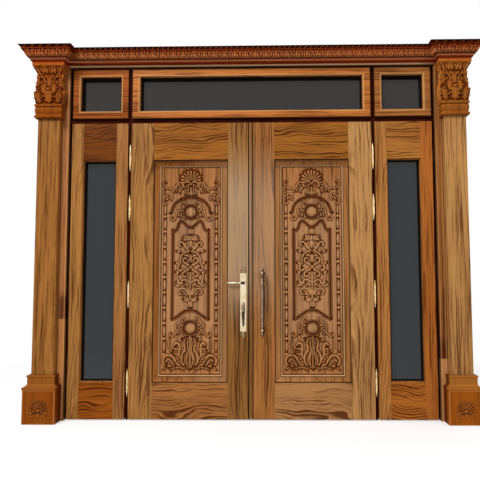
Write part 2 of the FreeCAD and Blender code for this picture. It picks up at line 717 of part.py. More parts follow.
def cornice():
    axis, half = size("pilaster_axis"), size("shaft_width / 2 + abacus_reach")
    front, back = size("block_front"), size("wall_setback")
    plain = stepped(axis, half, front, back, cornice_levels(size("neck_foot")))
    leaves, notches = carved_row(axis - half - size("band_start"), axis + half + size("band_start"), front)
    carved = fused([plain] + leaves).cut(notches)
    casing_shapes = [nodes["right_casing"], nodes["head_casing"]]
    block = cut_by("cornice_block", shaped("cornice_block_carved", carved), casing_shapes)
    node("cornice_right_block", block)
    node("cornice_left_block", twin("cornice_left", block))

    span = axis - half
    middle = size("middle_front")
    length = stepped(0, span, middle, back, cornice_levels(size("fillet_foot")))
    leaves, notches = carved_row(-span + size("crown_end"), span - size("crown_end"), middle)
    carved = fused([length] + leaves).cut(notches)
    ends = [plain, plain.mirror(Vector(0, 0, 0), Vector(1, 0, 0))]
    centre = shaped("cornice_length", carved.cut(ends).removeSplitter())
    node("cornice_centre", cut("cornice_between", centre, nodes["head_casing"]))


# ---------------------------------------------------------------- leaves

def leaf_joinery(name, inner, outer, opening, depth, thickness, groove):
    """The four members of a right-hand leaf, grooved round the opening for its filling.
    Returns the stile at the inner edge, the stile at the outer edge and the two rails."""
    low, high = opening
    y, z = ("0", "leaf_thickness"), ("floor_gap", "leaf_top")
    channel = box(name + "_channel", (f"{low} - {groove}", f"{high} + {groove}"),
                  (depth, f"{depth} + {thickness}"), (f"opening_foot - {groove}", f"opening_top + {groove}"))
    tenon, slot = ("tenon_face", "tenon_face + tenon_thickness"), "tenon_length + mortise_relief"
    tenons, mortises = {}, []
    levels = {"bottom": ("floor_gap", "opening_foot"), "top": ("opening_top", "leaf_top")}
    for rail, (foot, top) in levels.items():
        rise = (f"{foot} + tenon_shoulder", f"{top} - tenon_shoulder")
        tenons[rail] = box(f"{name}_{rail}_tenon", (f"{low} - tenon_length", f"{high} + tenon_length"),
                           tenon, rise)
        mortises.append(box(f"{name}_{rail}_mortise", (f"{low} - ({slot})", f"{high} + {slot}"),
                            tenon, rise))
    hollows = joined(name + "_hollows", [channel] + mortises)
    stiles = []
    for side, span in (("inner", (inner, low)), ("outer", (high, outer))):
        stiles.append(cut(f"{name}_{side}", box(f"{name}_{side}_board", span, y, z), hollows))
    rails = []
    for rail, level in levels.items():
        board = box(f"{name}_{rail}_board", opening, y, level)
        whole = joined(f"{name}_{rail}_rail", [board, tenons[rail]])
        rails.append(cut(f"{name}_{rail}", whole, channel))
    return stiles, rails


def moulding_profile():
    """Section of the panel moulding: rim, hollow, bead, quirk and heel."""
    rim, lip, field = size("moulding_lip_width"), size("moulding_lip"), size("field_depth")
    width, heel, quirk = size("moulding_width"), size("moulding_heel"), size("moulding_quirk")
    bead, rise, back = size("moulding_bead"), size("moulding_bead_rise"), size("panel_depth")
    foot = width - heel - quirk - bead
    turns = [math.pi / 2 * k / 5 for k in range(6)]
    hollow = [(rim + (foot - rim) * (1 - math.cos(t)), field * math.sin(t)) for t in turns]
    arch = [(foot + bead * k / 4, field - rise * math.sin(math.pi * k / 4)) for k in range(1, 5)]
    floor = size("moulding_quirk_depth")
    groove = [(foot + bead, floor), (width - heel, floor), (width - heel, field - lip), (width, field - lip)]
    return [(0, back), (0, -lip), (rim, -lip)] + hollow + arch + groove + [(width, back)]


def bead_profile():
    """Section of the sloping bead in front of a pane."""
    glass, width = size("glass_depth"), size("glass_bead")
    return [(0, glass), (0, size("glass_bead_top")), (width, size("glass_bead_foot")), (width, glass)]


def panel_carving():
    """Relief on the panel's field.  The groups hang from the field's top or stand on its
    foot, and the chains of beads fill the height between them."""
    axis, rim = size("panel_axis"), size("moulding_width")
    foot, top = size("opening_foot") + rim, size("opening_top") - rim
    half = size("panel_axis - main_opening_inner") - rim - size("relief_margin")
    middle = (foot + top) / 2
    low, high = [], []

    crest = top - 128
    high += fan(axis, crest, 118, 22, 9, 200)
    low += both_sides([hoop(axis + 0.5 * half, crest - 22, 26, 13, -20, 215),
                       blade(axis + 0.3 * half, crest - 35, 25, 0.75 * half, 30),
                       disc(axis + 0.86 * half, crest - 26, 17),
                       blade(axis + 0.08 * half, crest - 10, -35, 0.6 * half, 24)], axis)
    low += both_sides([hoop(axis + 0.86 * half, crest - 100, 19, 11, -60, 240),
                       blade(axis + 0.72 * half, crest - 78, -55, 85, 20)], axis)

    arch = top - 218
    low += both_sides([strip(axis, arch, axis + 0.36 * half, arch - 42, 15),
                       strip(axis + 0.36 * half, arch - 42, axis + 0.71 * half, arch - 118, 13)], axis)
    high += [disc(axis, arch - 4, 13)]

    upper, lower = top - 333, foot + 331
    for level, turn in ((upper, 1), (lower, -1)):
        high += [disc(axis, level, 33)]
        low += [hoop(axis, level, 47, 9)]
        low += both_sides([hoop(axis + 0.46 * half, level - 28 * turn, 22, 11, -150, 120),
                           blade(axis + 0.3 * half, level - 46 * turn, -8 * turn, 0.45 * half, 22)], axis)

    shoulder, sill = top - 476, foot + 400
    side = 0.67 * half
    low += both_sides([strip(axis, shoulder + 30, axis + 0.36 * half, shoulder + 75, 13),
                       strip(axis + 0.36 * half, shoulder + 75, axis + side, shoulder, 13),
                       strip(axis + side, shoulder + 4, axis + side, sill - 4, 13),
                       strip(axis + side, sill, axis + 0.3 * half, sill + 12, 13),
                       strip(axis + 0.3 * half, sill + 12, axis, sill + 61, 13)], axis)

    span = (shoulder - sill) / 2
    low += [strip(axis, middle - 0.82 * span, axis, middle + 0.82 * span, 7)]
    for share, turn in ((0.7, -35), (0.45, 30), (0.15, -30), (-0.15, 30), (-0.45, -30), (-0.66, 35)):
        low += both_sides([blade(axis, middle + share * span, turn, 0.52 * half, 28)], axis)
    for share in (0.28, -0.28):
        low += both_sides([hoop(axis + 0.25 * half, middle + share * span, 24, 9, -150, 150)], axis)
    high += [blade(axis, middle + 0.78 * span, 90, 62, 34), blade(axis, middle - 0.78 * span, -90, 62, 34),
             disc(axis, middle + 0.33 * span, 15), disc(axis, middle - 0.33 * span, 15),
             disc(axis, middle, 20)]

    spray = foot + 60
    high += fan(axis, spray - 10, 175, 40, 5, 120)
    low += both_sides([hoop(axis + 0.62 * half, spray + 10, 32, 15, -30, 230),
                       blade(axis + 0.25 * half, spray - 30, 10, 0.72 * half, 40),
                       blade(axis + 0.45 * half, spray + 50, 55, 110, 32)], axis)

    links = round((upper - 34 - (foot + 147)) / 112)
    pitch = (upper - 34 - (foot + 147)) / links
    for index in range(links + 1):
        bead = foot + 147 + pitch * index
        radius = size("bead_radius")
        low += both_sides([lozenge(axis + half, bead, 2 * radius, 3 * radius)], axis)
        if index < links:
            reel = [strip(axis + half, bead + 0.2 * pitch, axis + half, bead + 0.8 * pitch, 8)]
            low += both_sides(reel, axis)

    field = size("field_depth")
    return raised(low, field - size("relief_low"), field) + raised(high, field - size("relief_high"), field)


def carved_panel():
    """Panel tongue, raised field and relief, in one board."""
    tongue_edge = size("panel_groove") - size("panel_slack")
    x0, x1 = size("main_opening_inner"), size("main_opening_outer")
    z0, z1, rim = size("opening_foot"), size("opening_top"), size("moulding_width")

    def board(out, front, back):
        corner = Vector(x0 - out, LEAF_FACE + front, z0 - out)
        return Part.makeBox(x1 - x0 + 2 * out, back - front, z1 - z0 + 2 * out, corner)
    depth = size("panel_depth")
    tongue = board(tongue_edge, depth, depth + size("panel_tongue"))
    return fused([tongue, board(-rim, size("field_depth"), depth)] + panel_carving())


def main_leaves():
    opening = ("main_opening_inner", "main_opening_outer")
    stiles, rails = leaf_joinery("main", "meeting_gap / 2", "hinge_edge", opening,
                                 "panel_depth", "panel_tongue", "panel_groove")
    pair("main_hinge_stile", stiles[1])
    pair("main_bottom_rail", rails[0])
    pair("main_top_rail", rails[1])
    pair("main_panel", shaped("carved_panel", carved_panel()))
    ring = mitred((size(opening[0]), size(opening[1])), (size("opening_foot"), size("opening_top")),
                  moulding_profile())
    pair("main_panel_moulding", shaped("panel_moulding", ring))
    return stiles[0]


def side_leaves():
    opening = ("side_opening_inner", "side_opening_outer")
    stiles, rails = leaf_joinery("side", "side_inner", "side_outer", opening,
                                 "glass_depth", "glass_thickness", "glass_groove")
    pair("side_lock_stile", stiles[0])
    pair("side_hinge_stile", stiles[1])
    pair("side_bottom_rail", rails[0])
    pair("side_top_rail", rails[1])
    pair("side_glass", pane("side_pane", opening, ("opening_foot", "opening_top"), "glass_depth"))
    ring = mitred((size(opening[0]), size(opening[1])), (size("opening_foot"), size("opening_top")),
                  bead_profile())
    pair("side_glazing_bead", shaped("glazing_bead", ring))


def pane(name, x, z, depth):
    """A pane that enters its groove all round."""
    edge = "(glass_groove - glass_slack)"
    return box(name, (f"{x[0]} - {edge}", f"{x[1]} + {edge}"), (depth, f"{depth} + glass_thickness"),
               (f"{z[0]} - {edge}", f"{z[1]} + {edge}"))


def fixed_light(name, low, high):
    """A sash with a sloping inner edge and its pane, standing on the transom bar."""
    rim = "sash_face + glass_bead"
    face, opening, back = size("sash_face"), size(rim), size("stop_face")
    glass, thickness, groove = size("sash_glass_depth"), size("glass_thickness"), size("glass_groove")
    profile = [(0, back), (0, 0), (face, 0), (opening, size("glass_bead_foot")), (opening, glass),
               (opening - groove, glass), (opening - groove, glass + thickness),
               (opening, glass + thickness), (opening, back)]
    ring = mitred((size(low), size(high)), (size("sash_bottom"), size("sash_top")), profile)
    light = pane(name + "_pane", (f"{low} + {rim}", f"{high} - ({rim})"),
                 (f"sash_bottom + {rim}", f"sash_top - ({rim})"), "sash_glass_depth")
    return shaped(name + "_ring", ring), light


def fixed_lights():
    sash, light = fixed_light("side_light", "side_inner", "side_outer")
    pair("transom_sash", sash)
    pair("transom_glass", light)
    sash, light = fixed_light("centre_light", "-(hinge_edge)", "hinge_edge")
    node("centre_transom_sash", sash)
    node("centre_transom_glass", light)


# ---------------------------------------------------------------- hinges

def block(x, y, z):
    """A block between two values along each axis; y is a depth from the leaf face."""
    corner = Vector(x[0], y[0] + LEAF_FACE, z[0])
    return Part.makeBox(x[1] - x[0], y[1] - y[0], z[1] - z[0], corner)


def rod(x, y, foot, top, radius):
    return Part.makeCylinder(radius, top - foot, Vector(x, y + LEAF_FACE, foot))


def finial(x, y, foot, length, radius):
    """A long point; a negative length points down."""
    profile = [(0, 0.85 * radius), (length, 0.12 * radius)]
    return turned(x, y, [(foot + rise, r) for rise, r in profile])


def hinge(x, y, level, radius, length, leaf_edge, frame_edge, ornament):
    """One barrel hinge of a right-hand leaf: the frame's part, which holds the pin and the
    outer knuckles, and the leaf's part, which holds the middle knuckle."""
    thick, reach, gap = size("plate_thickness"), size("plate_depth"), size("knuckle_gap")
    pin, foot, top = size("pin_radius"), level - length / 2, level + length / 2
    lower, upper = foot + length / 3, top - length / 3
    plate_face = y + radius + gap
    web = (min(x + radius / 3, frame_edge - thick), frame_edge)
    frame_part = [rod(x, y, foot, lower - gap / 2, radius), rod(x, y, upper + gap / 2, top, radius),
                  rod(x, y, foot, top, pin),
                  block((frame_edge - thick, frame_edge), (plate_face, reach), (foot, top)),
                  block(web, (y + radius / 2, plate_face + gap), (foot, lower - gap / 2)),
                  block(web, (y + radius / 2, plate_face + gap), (upper + gap / 2, top))]
    if ornament:
        frame_part += [finial(x, y, top, ornament, radius), finial(x, y, foot, -ornament, radius)]
    knuckle = (lower + gap / 2, upper - gap / 2)
    plate_start = y + radius - size("plate_lap")
    leaf_part = fused([rod(x, y, *knuckle, radius),
                       block((leaf_edge, leaf_edge + thick), (plate_start, reach), (foot, top)),
                       block((leaf_edge, x - pin), (y + radius / 4, plate_start + gap), knuckle)])
    bore = rod(x, y, foot, top, pin + size("pin_clearance"))
    return fused(frame_part), leaf_part.cut(bore)


def hinge_set(name, x, y, levels, radius, length, leaf_edge, frame_edge, ornament):
    """All hinges of one kind: the frame's parts of both sides are one sub-part."""
    made = [hinge(x, y, level, radius, length, leaf_edge, frame_edge, ornament) for level in levels]
    frame_parts = [frame_part for frame_part, leaf_part in made]
    mirrors = [part.mirror(Vector(0, 0, 0), Vector(1, 0, 0)) for part in frame_parts]
    node(name + "_frame_parts", shaped(name + "_fixed", Part.makeCompound(frame_parts + mirrors)))
    pair(name + "_leaf_parts", shaped(name + "_swinging", Part.makeCompound([m[1] for m in made])))


def hinges():
    low, high = size("floor_gap + hinge_inset"), size("leaf_top - hinge_inset")
    pitch = size("hinge_pitch")
    hinge_set("main_hinge", size("hinge_edge + barrel_offset"), 0,
              [low, low + pitch, low + 2 * pitch, high], size("barrel_radius"),
              size("barrel_length"), size("hinge_edge"), size("nose_inner"), size("finial_length"))
    hinge_set("side_hinge", size("side_outer + side_barrel_offset"), size("side_pivot_depth"),
              [low, (low + high) / 2, high], size("side_barrel_radius"),
              size("side_barrel_length"), size("side_outer"), size("jamb_face"), 0)


# ---------------------------------------------------------------- furniture and lock

def post(x, level, reach, back):
    """A round post from the back depth out to a depth in front of the leaf."""
    start = Vector(x, LEAF_FACE + back, level)
    return Part.makeCylinder(size("post_radius"), reach + back, start, Vector(0, -1, 0))


def pull():
    """Baluster pull: a bar between rings and balls, with a point at each end."""
    x, reach = size("pull_axis"), size("pull_reach")
    foot, length = size("pull_foot"), size("pull_length")
    bar, ball, ring = size("pull_radius"), size("pull_ball"), size("pull_ring")
    half = [(0, 1.5), (10, 5), (22, 6), (28, 10), (34, 7), (42, 0.7 * ball), (52, ball), (62, 0.7 * ball),
            (66, 0.8 * bar), (68, ring), (76, ring), (78, bar), (92, 0.8 * ball), (104, bar), (120, 0.8 * bar),
            (length / 2, 1.15 * bar)]
    profile = [(foot + a, r) for a, r in half] + [(foot + length - a, r) for a, r in half[-2::-1]]
    parts = [turned(x, -reach, profile)]
    for level in (foot + 72, foot + length - 72):
        parts.append(post(x, level, reach, 0))
        parts.append(rose(x, level))
    node("pull", shaped("baluster_pull", fused(parts)))


def rose(x, level):
    """The foot of a post, on the leaf."""
    foot = Vector(x, LEAF_FACE, level)
    return Part.makeCone(1.9 * size("post_radius"), size("post_radius"), size("post_radius"), foot,
                         Vector(0, -1, 0))


def crest(x, level, way):
    """Scrolled and pointed end of the handle plate."""
    half, tall = size("handle_width / 2"), size("handle_crest")
    faces = [strip(x - 0.62 * half, level, x - 0.62 * half, level + way * 0.3 * tall, 0.5 * half),
             strip(x, level - way * 4, x, level + way * 0.5 * tall, 0.8 * half),
             strip(x - half, level + way * 0.36 * tall, x + half, level + way * 0.36 * tall, 0.16 * tall),
             disc(x - half, level + way * 0.36 * tall, 0.18 * half),
             blade(x, level + way * 0.3 * tall, 90 * way, 0.7 * tall, 1.1 * half)]
    return both_sides(faces, x)


def handle_plate():
    """Long plate with ornamental ends, on the left main leaf."""
    x, foot = -size("handle_axis"), size("handle_foot")
    half, top = size("handle_width / 2"), foot + size("handle_length")
    thick = size("handle_thickness")
    body = block((x - half, x + half), (-thick, 0), (foot, top))
    plate = fused([body] + raised(crest(x, top, 1) + crest(x, foot, -1), -thick, 0))
    hole = size("spindle_radius + spindle_clearance")
    bore = Part.makeCylinder(hole, thick, Vector(x, LEAF_FACE, size("lever_height")), Vector(0, -1, 0))
    node("handle_plate", shaped("long_plate", plate.cut(bore)))


def lever():
    """Lever arm, hub, round neck and square spindle in one piece."""
    x, z, front = -size("handle_axis"), size("lever_height"), -size("handle_thickness + turning_gap")
    reach, hub, neck = size("lever_reach"), size("hub_radius"), size("spindle_radius")
    side, case = size("spindle_square / 2"), size("case_face")
    out, away = Vector(0, -1, 0), Vector(-1, 0, 0)
    seat = Vector(x, LEAF_FACE + front, z)
    arm = seat + out * (reach - 0.7 * hub)
    length = size("lever_length")
    parts = [Part.makeCylinder(hub, reach, seat, out),
             Part.makeCylinder(neck, case - front, Vector(x, LEAF_FACE + case, z), out),
             block((x - side, x + side), (case, case + size("case_thickness")), (z - side, z + side)),
             Part.makeCone(0.72 * hub, 0.5 * hub, length, arm, away),
             Part.makeSphere(0.7 * hub, arm + away * length)]
    node("lever", shaped("lever_and_spindle", fused(parts)))


def grip():
    """Fixed teardrop grip under the lever, on two posts."""
    x, foot, length = -size("handle_axis"), size("grip_foot"), size("grip_length")
    top, reach = foot + length, size("grip_reach")
    wide, tail = size("grip_radius"), size("grip_tail_radius")
    bar = turned(x, -reach, [(foot, 0.5 * tail), (foot + 8, tail), (foot + 0.7 * length, wide),
                             (top - 18, wide), (top, 0.5 * wide)])
    thick = size("handle_thickness")
    posts = [post(x, level, reach - thick, -thick) for level in (foot + 22, top - 26)]
    node("grip", shaped("teardrop_grip", fused([bar] + posts)))


def lock_and_meeting_stiles(stile):
    """Cuts the lock's pockets and holes in the meeting stiles and makes the lock."""
    edge, near = "-(meeting_gap / 2)", "-(meeting_gap / 2 + forend_thickness)"
    case_x = ("-(meeting_gap / 2 + case_length)", edge)
    case_y = ("case_face", "case_face + case_thickness")
    case_z = ("case_foot", "case_foot + case_height")
    forend_y = ("(leaf_thickness - forend_width) / 2", "(leaf_thickness + forend_width) / 2")
    forend_z = ("case_foot - forend_margin", "case_foot + case_height + forend_margin")
    pockets = [box("case_pocket", case_x, case_y, case_z),
               box("forend_recess", (near, edge), forend_y, forend_z)]
    centre = ("-(handle_axis)", "case_face", "lever_height")
    hole = "spindle_radius + spindle_clearance"
    pockets.append(cylinder("spindle_hole", hole, "case_face", centre, (0, 0, 90)))
    quirk = "meeting_gap / 2 + edge_bead"
    pockets.append(box("bead_quirk", (f"-({quirk} + edge_quirk)", f"-({quirk})"),
                       ("0", "edge_quirk_depth"), ("floor_gap", "leaf_top")))
    node("left_meeting_stile", cut_by("left_meeting", twin("left_meeting_board", stile), pockets))

    play = "keep_clearance"
    keep = box("keep", ("meeting_gap / 2", "meeting_gap / 2 + bolt_travel"),
               (f"bolt_face - {play}", f"bolt_face + bolt_thickness + {play}"),
               (f"bolt_level - bolt_height / 2 - {play}", f"bolt_level + bolt_height / 2 + {play}"))
    node("right_meeting_stile", cut("right_meeting", stile, keep))

    bolt = box("bolt", ("-(meeting_gap / 2 + bolt_length)", edge),
               ("bolt_face", "bolt_face + bolt_thickness"),
               ("bolt_level - bolt_height / 2", "bolt_level + bolt_height / 2"))
    node("lock_bolt", bolt)
    play = "bolt_clearance"
    channel = box("bolt_channel", (f"-(meeting_gap / 2 + bolt_length + {play})", edge),
                  (f"bolt_face - {play}", f"bolt_face + bolt_thickness + {play}"),
                  (f"bolt_level - bolt_height / 2 - {play}", f"bolt_level + bolt_height / 2 + {play}"))
    follower = cylinder("follower_hole", hole, "case_thickness",
                        ("-(handle_axis)", "case_face + case_thickness", "lever_height"), (0, 0, 90))
    case = joined("lock_body", [box("lock_box", case_x, case_y, case_z),
                                box("lock_forend", (near, edge), forend_y, forend_z)])
    node("lock_case", cut_by("lock", case, [channel, follower]))


# ---------------------------------------------------------------- the whole door

frame()
casings()
doc.recompute()
pilasters()
cornice()
fixed_lights()
side_leaves()
lock_and_meeting_stiles(main_leaves())
handle_plate()
lever()
grip()
pull()
hinges()
doc.recompute()

for piece in doc.Objects:
    if "Invalid" in piece.State or "Error" in piece.State:
        raise RuntimeError(f"{piece.Label} was not built: {piece.State}")
for name, piece in nodes.items():
    if piece.Shape.isNull() or not piece.Shape.isValid() or not piece.Shape.Solids:
        raise RuntimeError(f"{name} is not a valid solid")

os.makedirs("parts", exist_ok=True)
for name, piece in nodes.items():
    piece.Shape.exportStep(f"parts/{name}.step")
print(len(nodes), "sub-parts,", sum(len(piece.Shape.Solids) for piece in nodes.values()), "solids")
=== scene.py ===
# %% [markdown]
# A four-leaf entrance door in carved teak: two carved main leaves, two narrow glazed side
# leaves, three fixed lights over them, and a surround of pilasters and cornice.  Boards,
# rails, hinges and glass keep their measured shape and get a finish here, and the carved
# and cast pieces are modelled again with their real detail.

# %% Load the measured model
import math

import bmesh
import bpy
from mathutils import Matrix, Vector, kdtree


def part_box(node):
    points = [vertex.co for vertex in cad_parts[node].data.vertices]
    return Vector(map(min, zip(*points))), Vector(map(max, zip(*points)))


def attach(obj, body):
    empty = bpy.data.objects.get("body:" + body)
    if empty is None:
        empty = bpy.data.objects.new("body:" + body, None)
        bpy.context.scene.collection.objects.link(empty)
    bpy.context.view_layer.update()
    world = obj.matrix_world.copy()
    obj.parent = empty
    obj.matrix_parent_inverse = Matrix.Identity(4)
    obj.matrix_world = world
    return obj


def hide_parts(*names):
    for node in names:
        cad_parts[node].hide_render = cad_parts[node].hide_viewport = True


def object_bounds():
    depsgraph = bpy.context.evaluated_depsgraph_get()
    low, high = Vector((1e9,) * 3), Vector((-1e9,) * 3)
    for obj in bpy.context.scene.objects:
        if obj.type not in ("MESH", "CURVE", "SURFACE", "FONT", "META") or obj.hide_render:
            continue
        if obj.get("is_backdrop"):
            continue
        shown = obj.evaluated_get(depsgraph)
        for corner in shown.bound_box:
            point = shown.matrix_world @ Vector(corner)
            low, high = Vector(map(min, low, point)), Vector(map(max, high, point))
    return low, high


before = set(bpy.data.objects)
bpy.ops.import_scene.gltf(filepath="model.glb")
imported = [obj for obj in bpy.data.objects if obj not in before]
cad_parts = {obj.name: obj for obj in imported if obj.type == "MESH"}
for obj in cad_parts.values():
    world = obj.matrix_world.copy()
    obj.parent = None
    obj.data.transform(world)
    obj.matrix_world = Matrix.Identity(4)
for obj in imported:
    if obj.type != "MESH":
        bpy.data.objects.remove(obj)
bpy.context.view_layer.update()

# %% [markdown]
# Places could be typed in again, but then the carving would stay behind when a size changes.
# They are read from the measured pieces instead.  A box is two corners, and these short
# helpers give a piece's middle and outline.

# %% Places taken from the measured pieces
MM = 0.001


def middle(node):
    low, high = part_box(node)
    return (low + high) / 2


def outline_of(node):
    """A piece's middle and its half sizes, across and up."""
    low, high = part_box(node)
    return [(low.x + high.x) / 2, (low.z + high.z) / 2, (high.x - low.x) / 2, (high.z - low.z) / 2]


LEAF_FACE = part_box("right_meeting_stile")[0].y
WALL_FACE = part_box("right_shaft")[1].y
SHAFT_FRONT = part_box("right_shaft")[0].y
SHAFT_HALF = outline_of("right_shaft")[2]
PANEL_X = middle("right_main_panel").x
PILASTER_X = middle("right_shaft").x
SIDES = (("left", -1), ("right", 1))
print("leaf face", LEAF_FACE, "panel axis", PANEL_X, "pilaster axis", PILASTER_X)

# The carved field of a panel, in millimetres: half its width, its foot and its top.
FIELD_HALF, FIELD_FOOT, FIELD_TOP = 216.5, 330.0, 1850.0

# %% [markdown]
# Wood is not one brown.  A sawn board cuts through the tree's yearly rings, so its face
# shows bands that run along the board and close into arches where the cut is flat.  A
# picture of wood would repeat from board to board and stretch round the edges, so the bands
# are worked out in space.  The group below measures how far each point is from a tree axis
# behind the board, bends that distance with noise, and turns it into bands.  Fine pores run
# along the grain.  One group serves every wooden piece.

# %% Small helpers for shader nodes
def join(node, **inputs):
    """Joins or sets a node's inputs, each by its name or by its place: i0, i1 and so on."""
    for name, value in inputs.items():
        by_place = name[0] == "i" and name[1:].isdigit()
        socket = node.inputs[int(name[1:]) if by_place else name.replace("_", " ")]
        value = getattr(value, "socket", value)
        if isinstance(value, bpy.types.NodeSocket):
            node.id_data.links.new(value, socket)
        else:
            socket.default_value = value


def add(tree, kind, settings=None, **inputs):
    """Adds a shader node and joins its inputs."""
    made = tree.nodes.new("ShaderNode" + kind)
    for name, value in (settings or {}).items():
        setattr(made, name, value)
    join(made, **inputs)
    return made


class Value:
    """A number in a shader that adds and multiplies like any other.  Each step is a node."""

    def __init__(self, socket):
        self.socket = socket

    def step(self, operation, other=0.0, clamp=False, first=None):
        made = add(self.socket.id_data, "Math", {"operation": operation, "use_clamp": clamp},
                   i0=self if first is None else first, i1=other)
        return Value(made.outputs[0])

    def __add__(self, other):
        return self.step("ADD", other)

    def __sub__(self, other):
        return self.step("SUBTRACT", other)

    def __rsub__(self, other):
        return self.step("SUBTRACT", self, first=other)

    def __mul__(self, other):
        return self.step("MULTIPLY", other)

    def __abs__(self):
        return self.step("ABSOLUTE")

    def ramp(self, low, high):
        """Stretches the range between two values to zero and one."""
        made = add(self.socket.id_data, "MapRange", {"interpolation_type": "SMOOTHSTEP"},
                   i0=self, i1=low, i2=high)
        return Value(made.outputs[0])

    def between(self, start, full, last, end):
        """One between full and last, and nothing outside start and end."""
        return self.ramp(start, full) * self.ramp(end, last)


def blend(share, first, second):
    """Mixes two colours."""
    made = add(share.socket.id_data, "Mix", {"data_type": "RGBA"}, i0=share, i6=first, i7=second)
    return made.outputs[2]


def vector_step(operation, first, **inputs):
    return add(first.id_data, "VectorMath", {"operation": operation}, i0=first, **inputs).outputs


# %% The group that draws the figure of a sawn board
SWAY, CURL = 0.12, 0.15
PLAIN_FIGURE = 1.2


def figure_group():
    """The grain runs along the vector's Z.  The tree's axis is the vector's own Z axis."""
    tree = bpy.data.node_groups.new("sawn_board", "ShaderNodeTree")
    kinds = {"Vector": "Vector", "Light": "Color", "Dark": "Color", "Color": "Color"}
    for way, names in (("INPUT", ("Vector", "Light", "Dark", "Rings", "Figure", "Streaks")),
                       ("OUTPUT", ("Color", "Roughness", "Height"))):
        for name in names:
            kind = "NodeSocket" + kinds.get(name, "Float")
            tree.interface.new_socket(name, in_out=way, socket_type=kind)
    source = tree.nodes.new("NodeGroupInput").outputs
    place, figure = source["Vector"], Value(source["Figure"])

    def noise(across, along, detail, roughness=0.5):
        """Noise with its own fineness across the grain and along it, per metre."""
        squeezed = vector_step("MULTIPLY", place, i1=(across, across, along))[0]
        return add(tree, "TexNoise", Vector=squeezed, Scale=1.0, Detail=detail, Roughness=roughness)

    def cloud(*fineness):
        return Value(noise(*fineness).outputs["Fac"])

    # The tree is never straight, and a lively board was cut near a knot, so its bands curl.
    push = vector_step("SCALE", noise(3.5, 1.3, 3.0).outputs["Color"], Scale=SWAY)[0]
    lively = figure.step("SUBTRACT", PLAIN_FIGURE, clamp=True) * CURL
    curl = vector_step("SCALE", noise(8.0, 4.0, 1.0).outputs["Color"], Scale=lively)[0]
    bent = vector_step("ADD", vector_step("ADD", place, i1=push)[0], i1=curl)[0]
    parts = add(tree, "SeparateXYZ", i0=bent).outputs
    flat = add(tree, "CombineXYZ", X=parts["X"], Y=parts["Y"]).outputs[0]
    radius = Value(vector_step("LENGTH", flat)["Value"])

    # Each year's band darkens slowly, ends sharply and is as dark as that year was dry.
    phase = radius * source["Rings"] + cloud(16.0, 1.4, 2.0) * 0.9
    cycle = phase.step("FRACT")
    chance = add(tree, "TexWhiteNoise", {"noise_dimensions": "1D"}, W=phase.step("FLOOR")).outputs["Value"]
    dry = Value(chance).step("POWER", 2.2) * 0.8 + 0.15
    patch = cloud(11.0, 3.0, 2.0).ramp(0.36, 0.62) + 0.25
    ring = cycle.ramp(0.15, 0.88) * (1.0 - cycle.ramp(0.88, 1.0)) * dry * patch
    thin = (phase * 3.0).step("FRACT").ramp(0.45, 1.0)
    streak = cloud(60.0, 1.6, 4.0, 0.65).ramp(0.45, 0.70)
    pores = cloud(420.0, 9.0, 2.0).ramp(0.50, 0.72)
    broad = cloud(4.0, 0.9, 2.0) - 0.5

    shade = ring * figure + thin * 0.20 * figure + streak * source["Streaks"] + broad * 1.1
    shade = shade.step("ADD", pores * 0.16, clamp=True)
    join(tree.nodes.new("NodeGroupOutput"), Color=blend(shade, source["Light"], source["Dark"]),
         Roughness=shade * 0.15 + 0.38, Height=1.0 - (ring * 0.5 + pores))
    return tree


sawn_board = figure_group()
print("figure group:", len(sawn_board.nodes), "nodes")

# %% [markdown]
# One material could serve all boards, but no two real boards match, so each has its own
# tone and tree axis: a little behind the face for arched figure, far to the side for
# straight figure.  The Mapping node also lays the grain along the board, upright for stiles
# and level for rails.  The varnish is a thin clear coat.

# %% One material for one board
LIGHTER, DARKER = (1.55, 0.98), (0.26, 1.45)
# The painted shade in a narrow groove: its colour, and where it is full and where it ends.
QUIRK_SHADE, QUIRK_HALF, QUIRK_SOFT = "1E0B04", 0.0035, 0.0060
BAND_FADE = 0.25


def colour(text):
    """A colour as painters write it, in eight-bit steps, made linear for the shader."""
    steps = [int(text[k:k + 2], 16) / 255 for k in (0, 2, 4)]
    return tuple(c / 12.92 if c <= 0.04045 else ((c + 0.055) / 1.055) ** 2.4 for c in steps) + (1.0,)


def shaded(linear, factor, warmth):
    """A lighter or darker tone of a colour.  More warmth keeps the red in the darker tone."""
    return (linear[0] * factor * warmth, linear[1] * factor, linear[2] * factor / warmth, 1.0)


def new_material(name):
    """A new material, its node tree and its shader."""
    material = bpy.data.materials.new(name)
    material.use_nodes = True
    return material, material.node_tree, material.node_tree.nodes["Principled BSDF"]


def object_place(tree):
    return add(tree, "TexCoord").outputs["Object"]


def tinted_bands(bands, x, z, paint):
    """Tints the paint between heights: (start, full, last full, end, tint, amount).

    A seventh value fades the band out at that distance from the middle of the door.
    """
    for start, full, last, end, tint, amount, *reach in bands:
        share = z.between(start, full, last, end) * amount
        for out in reach:
            share = share * abs(x).ramp(out, out - BAND_FADE)
        paint = blend(share, paint, colour(tint))
    return paint


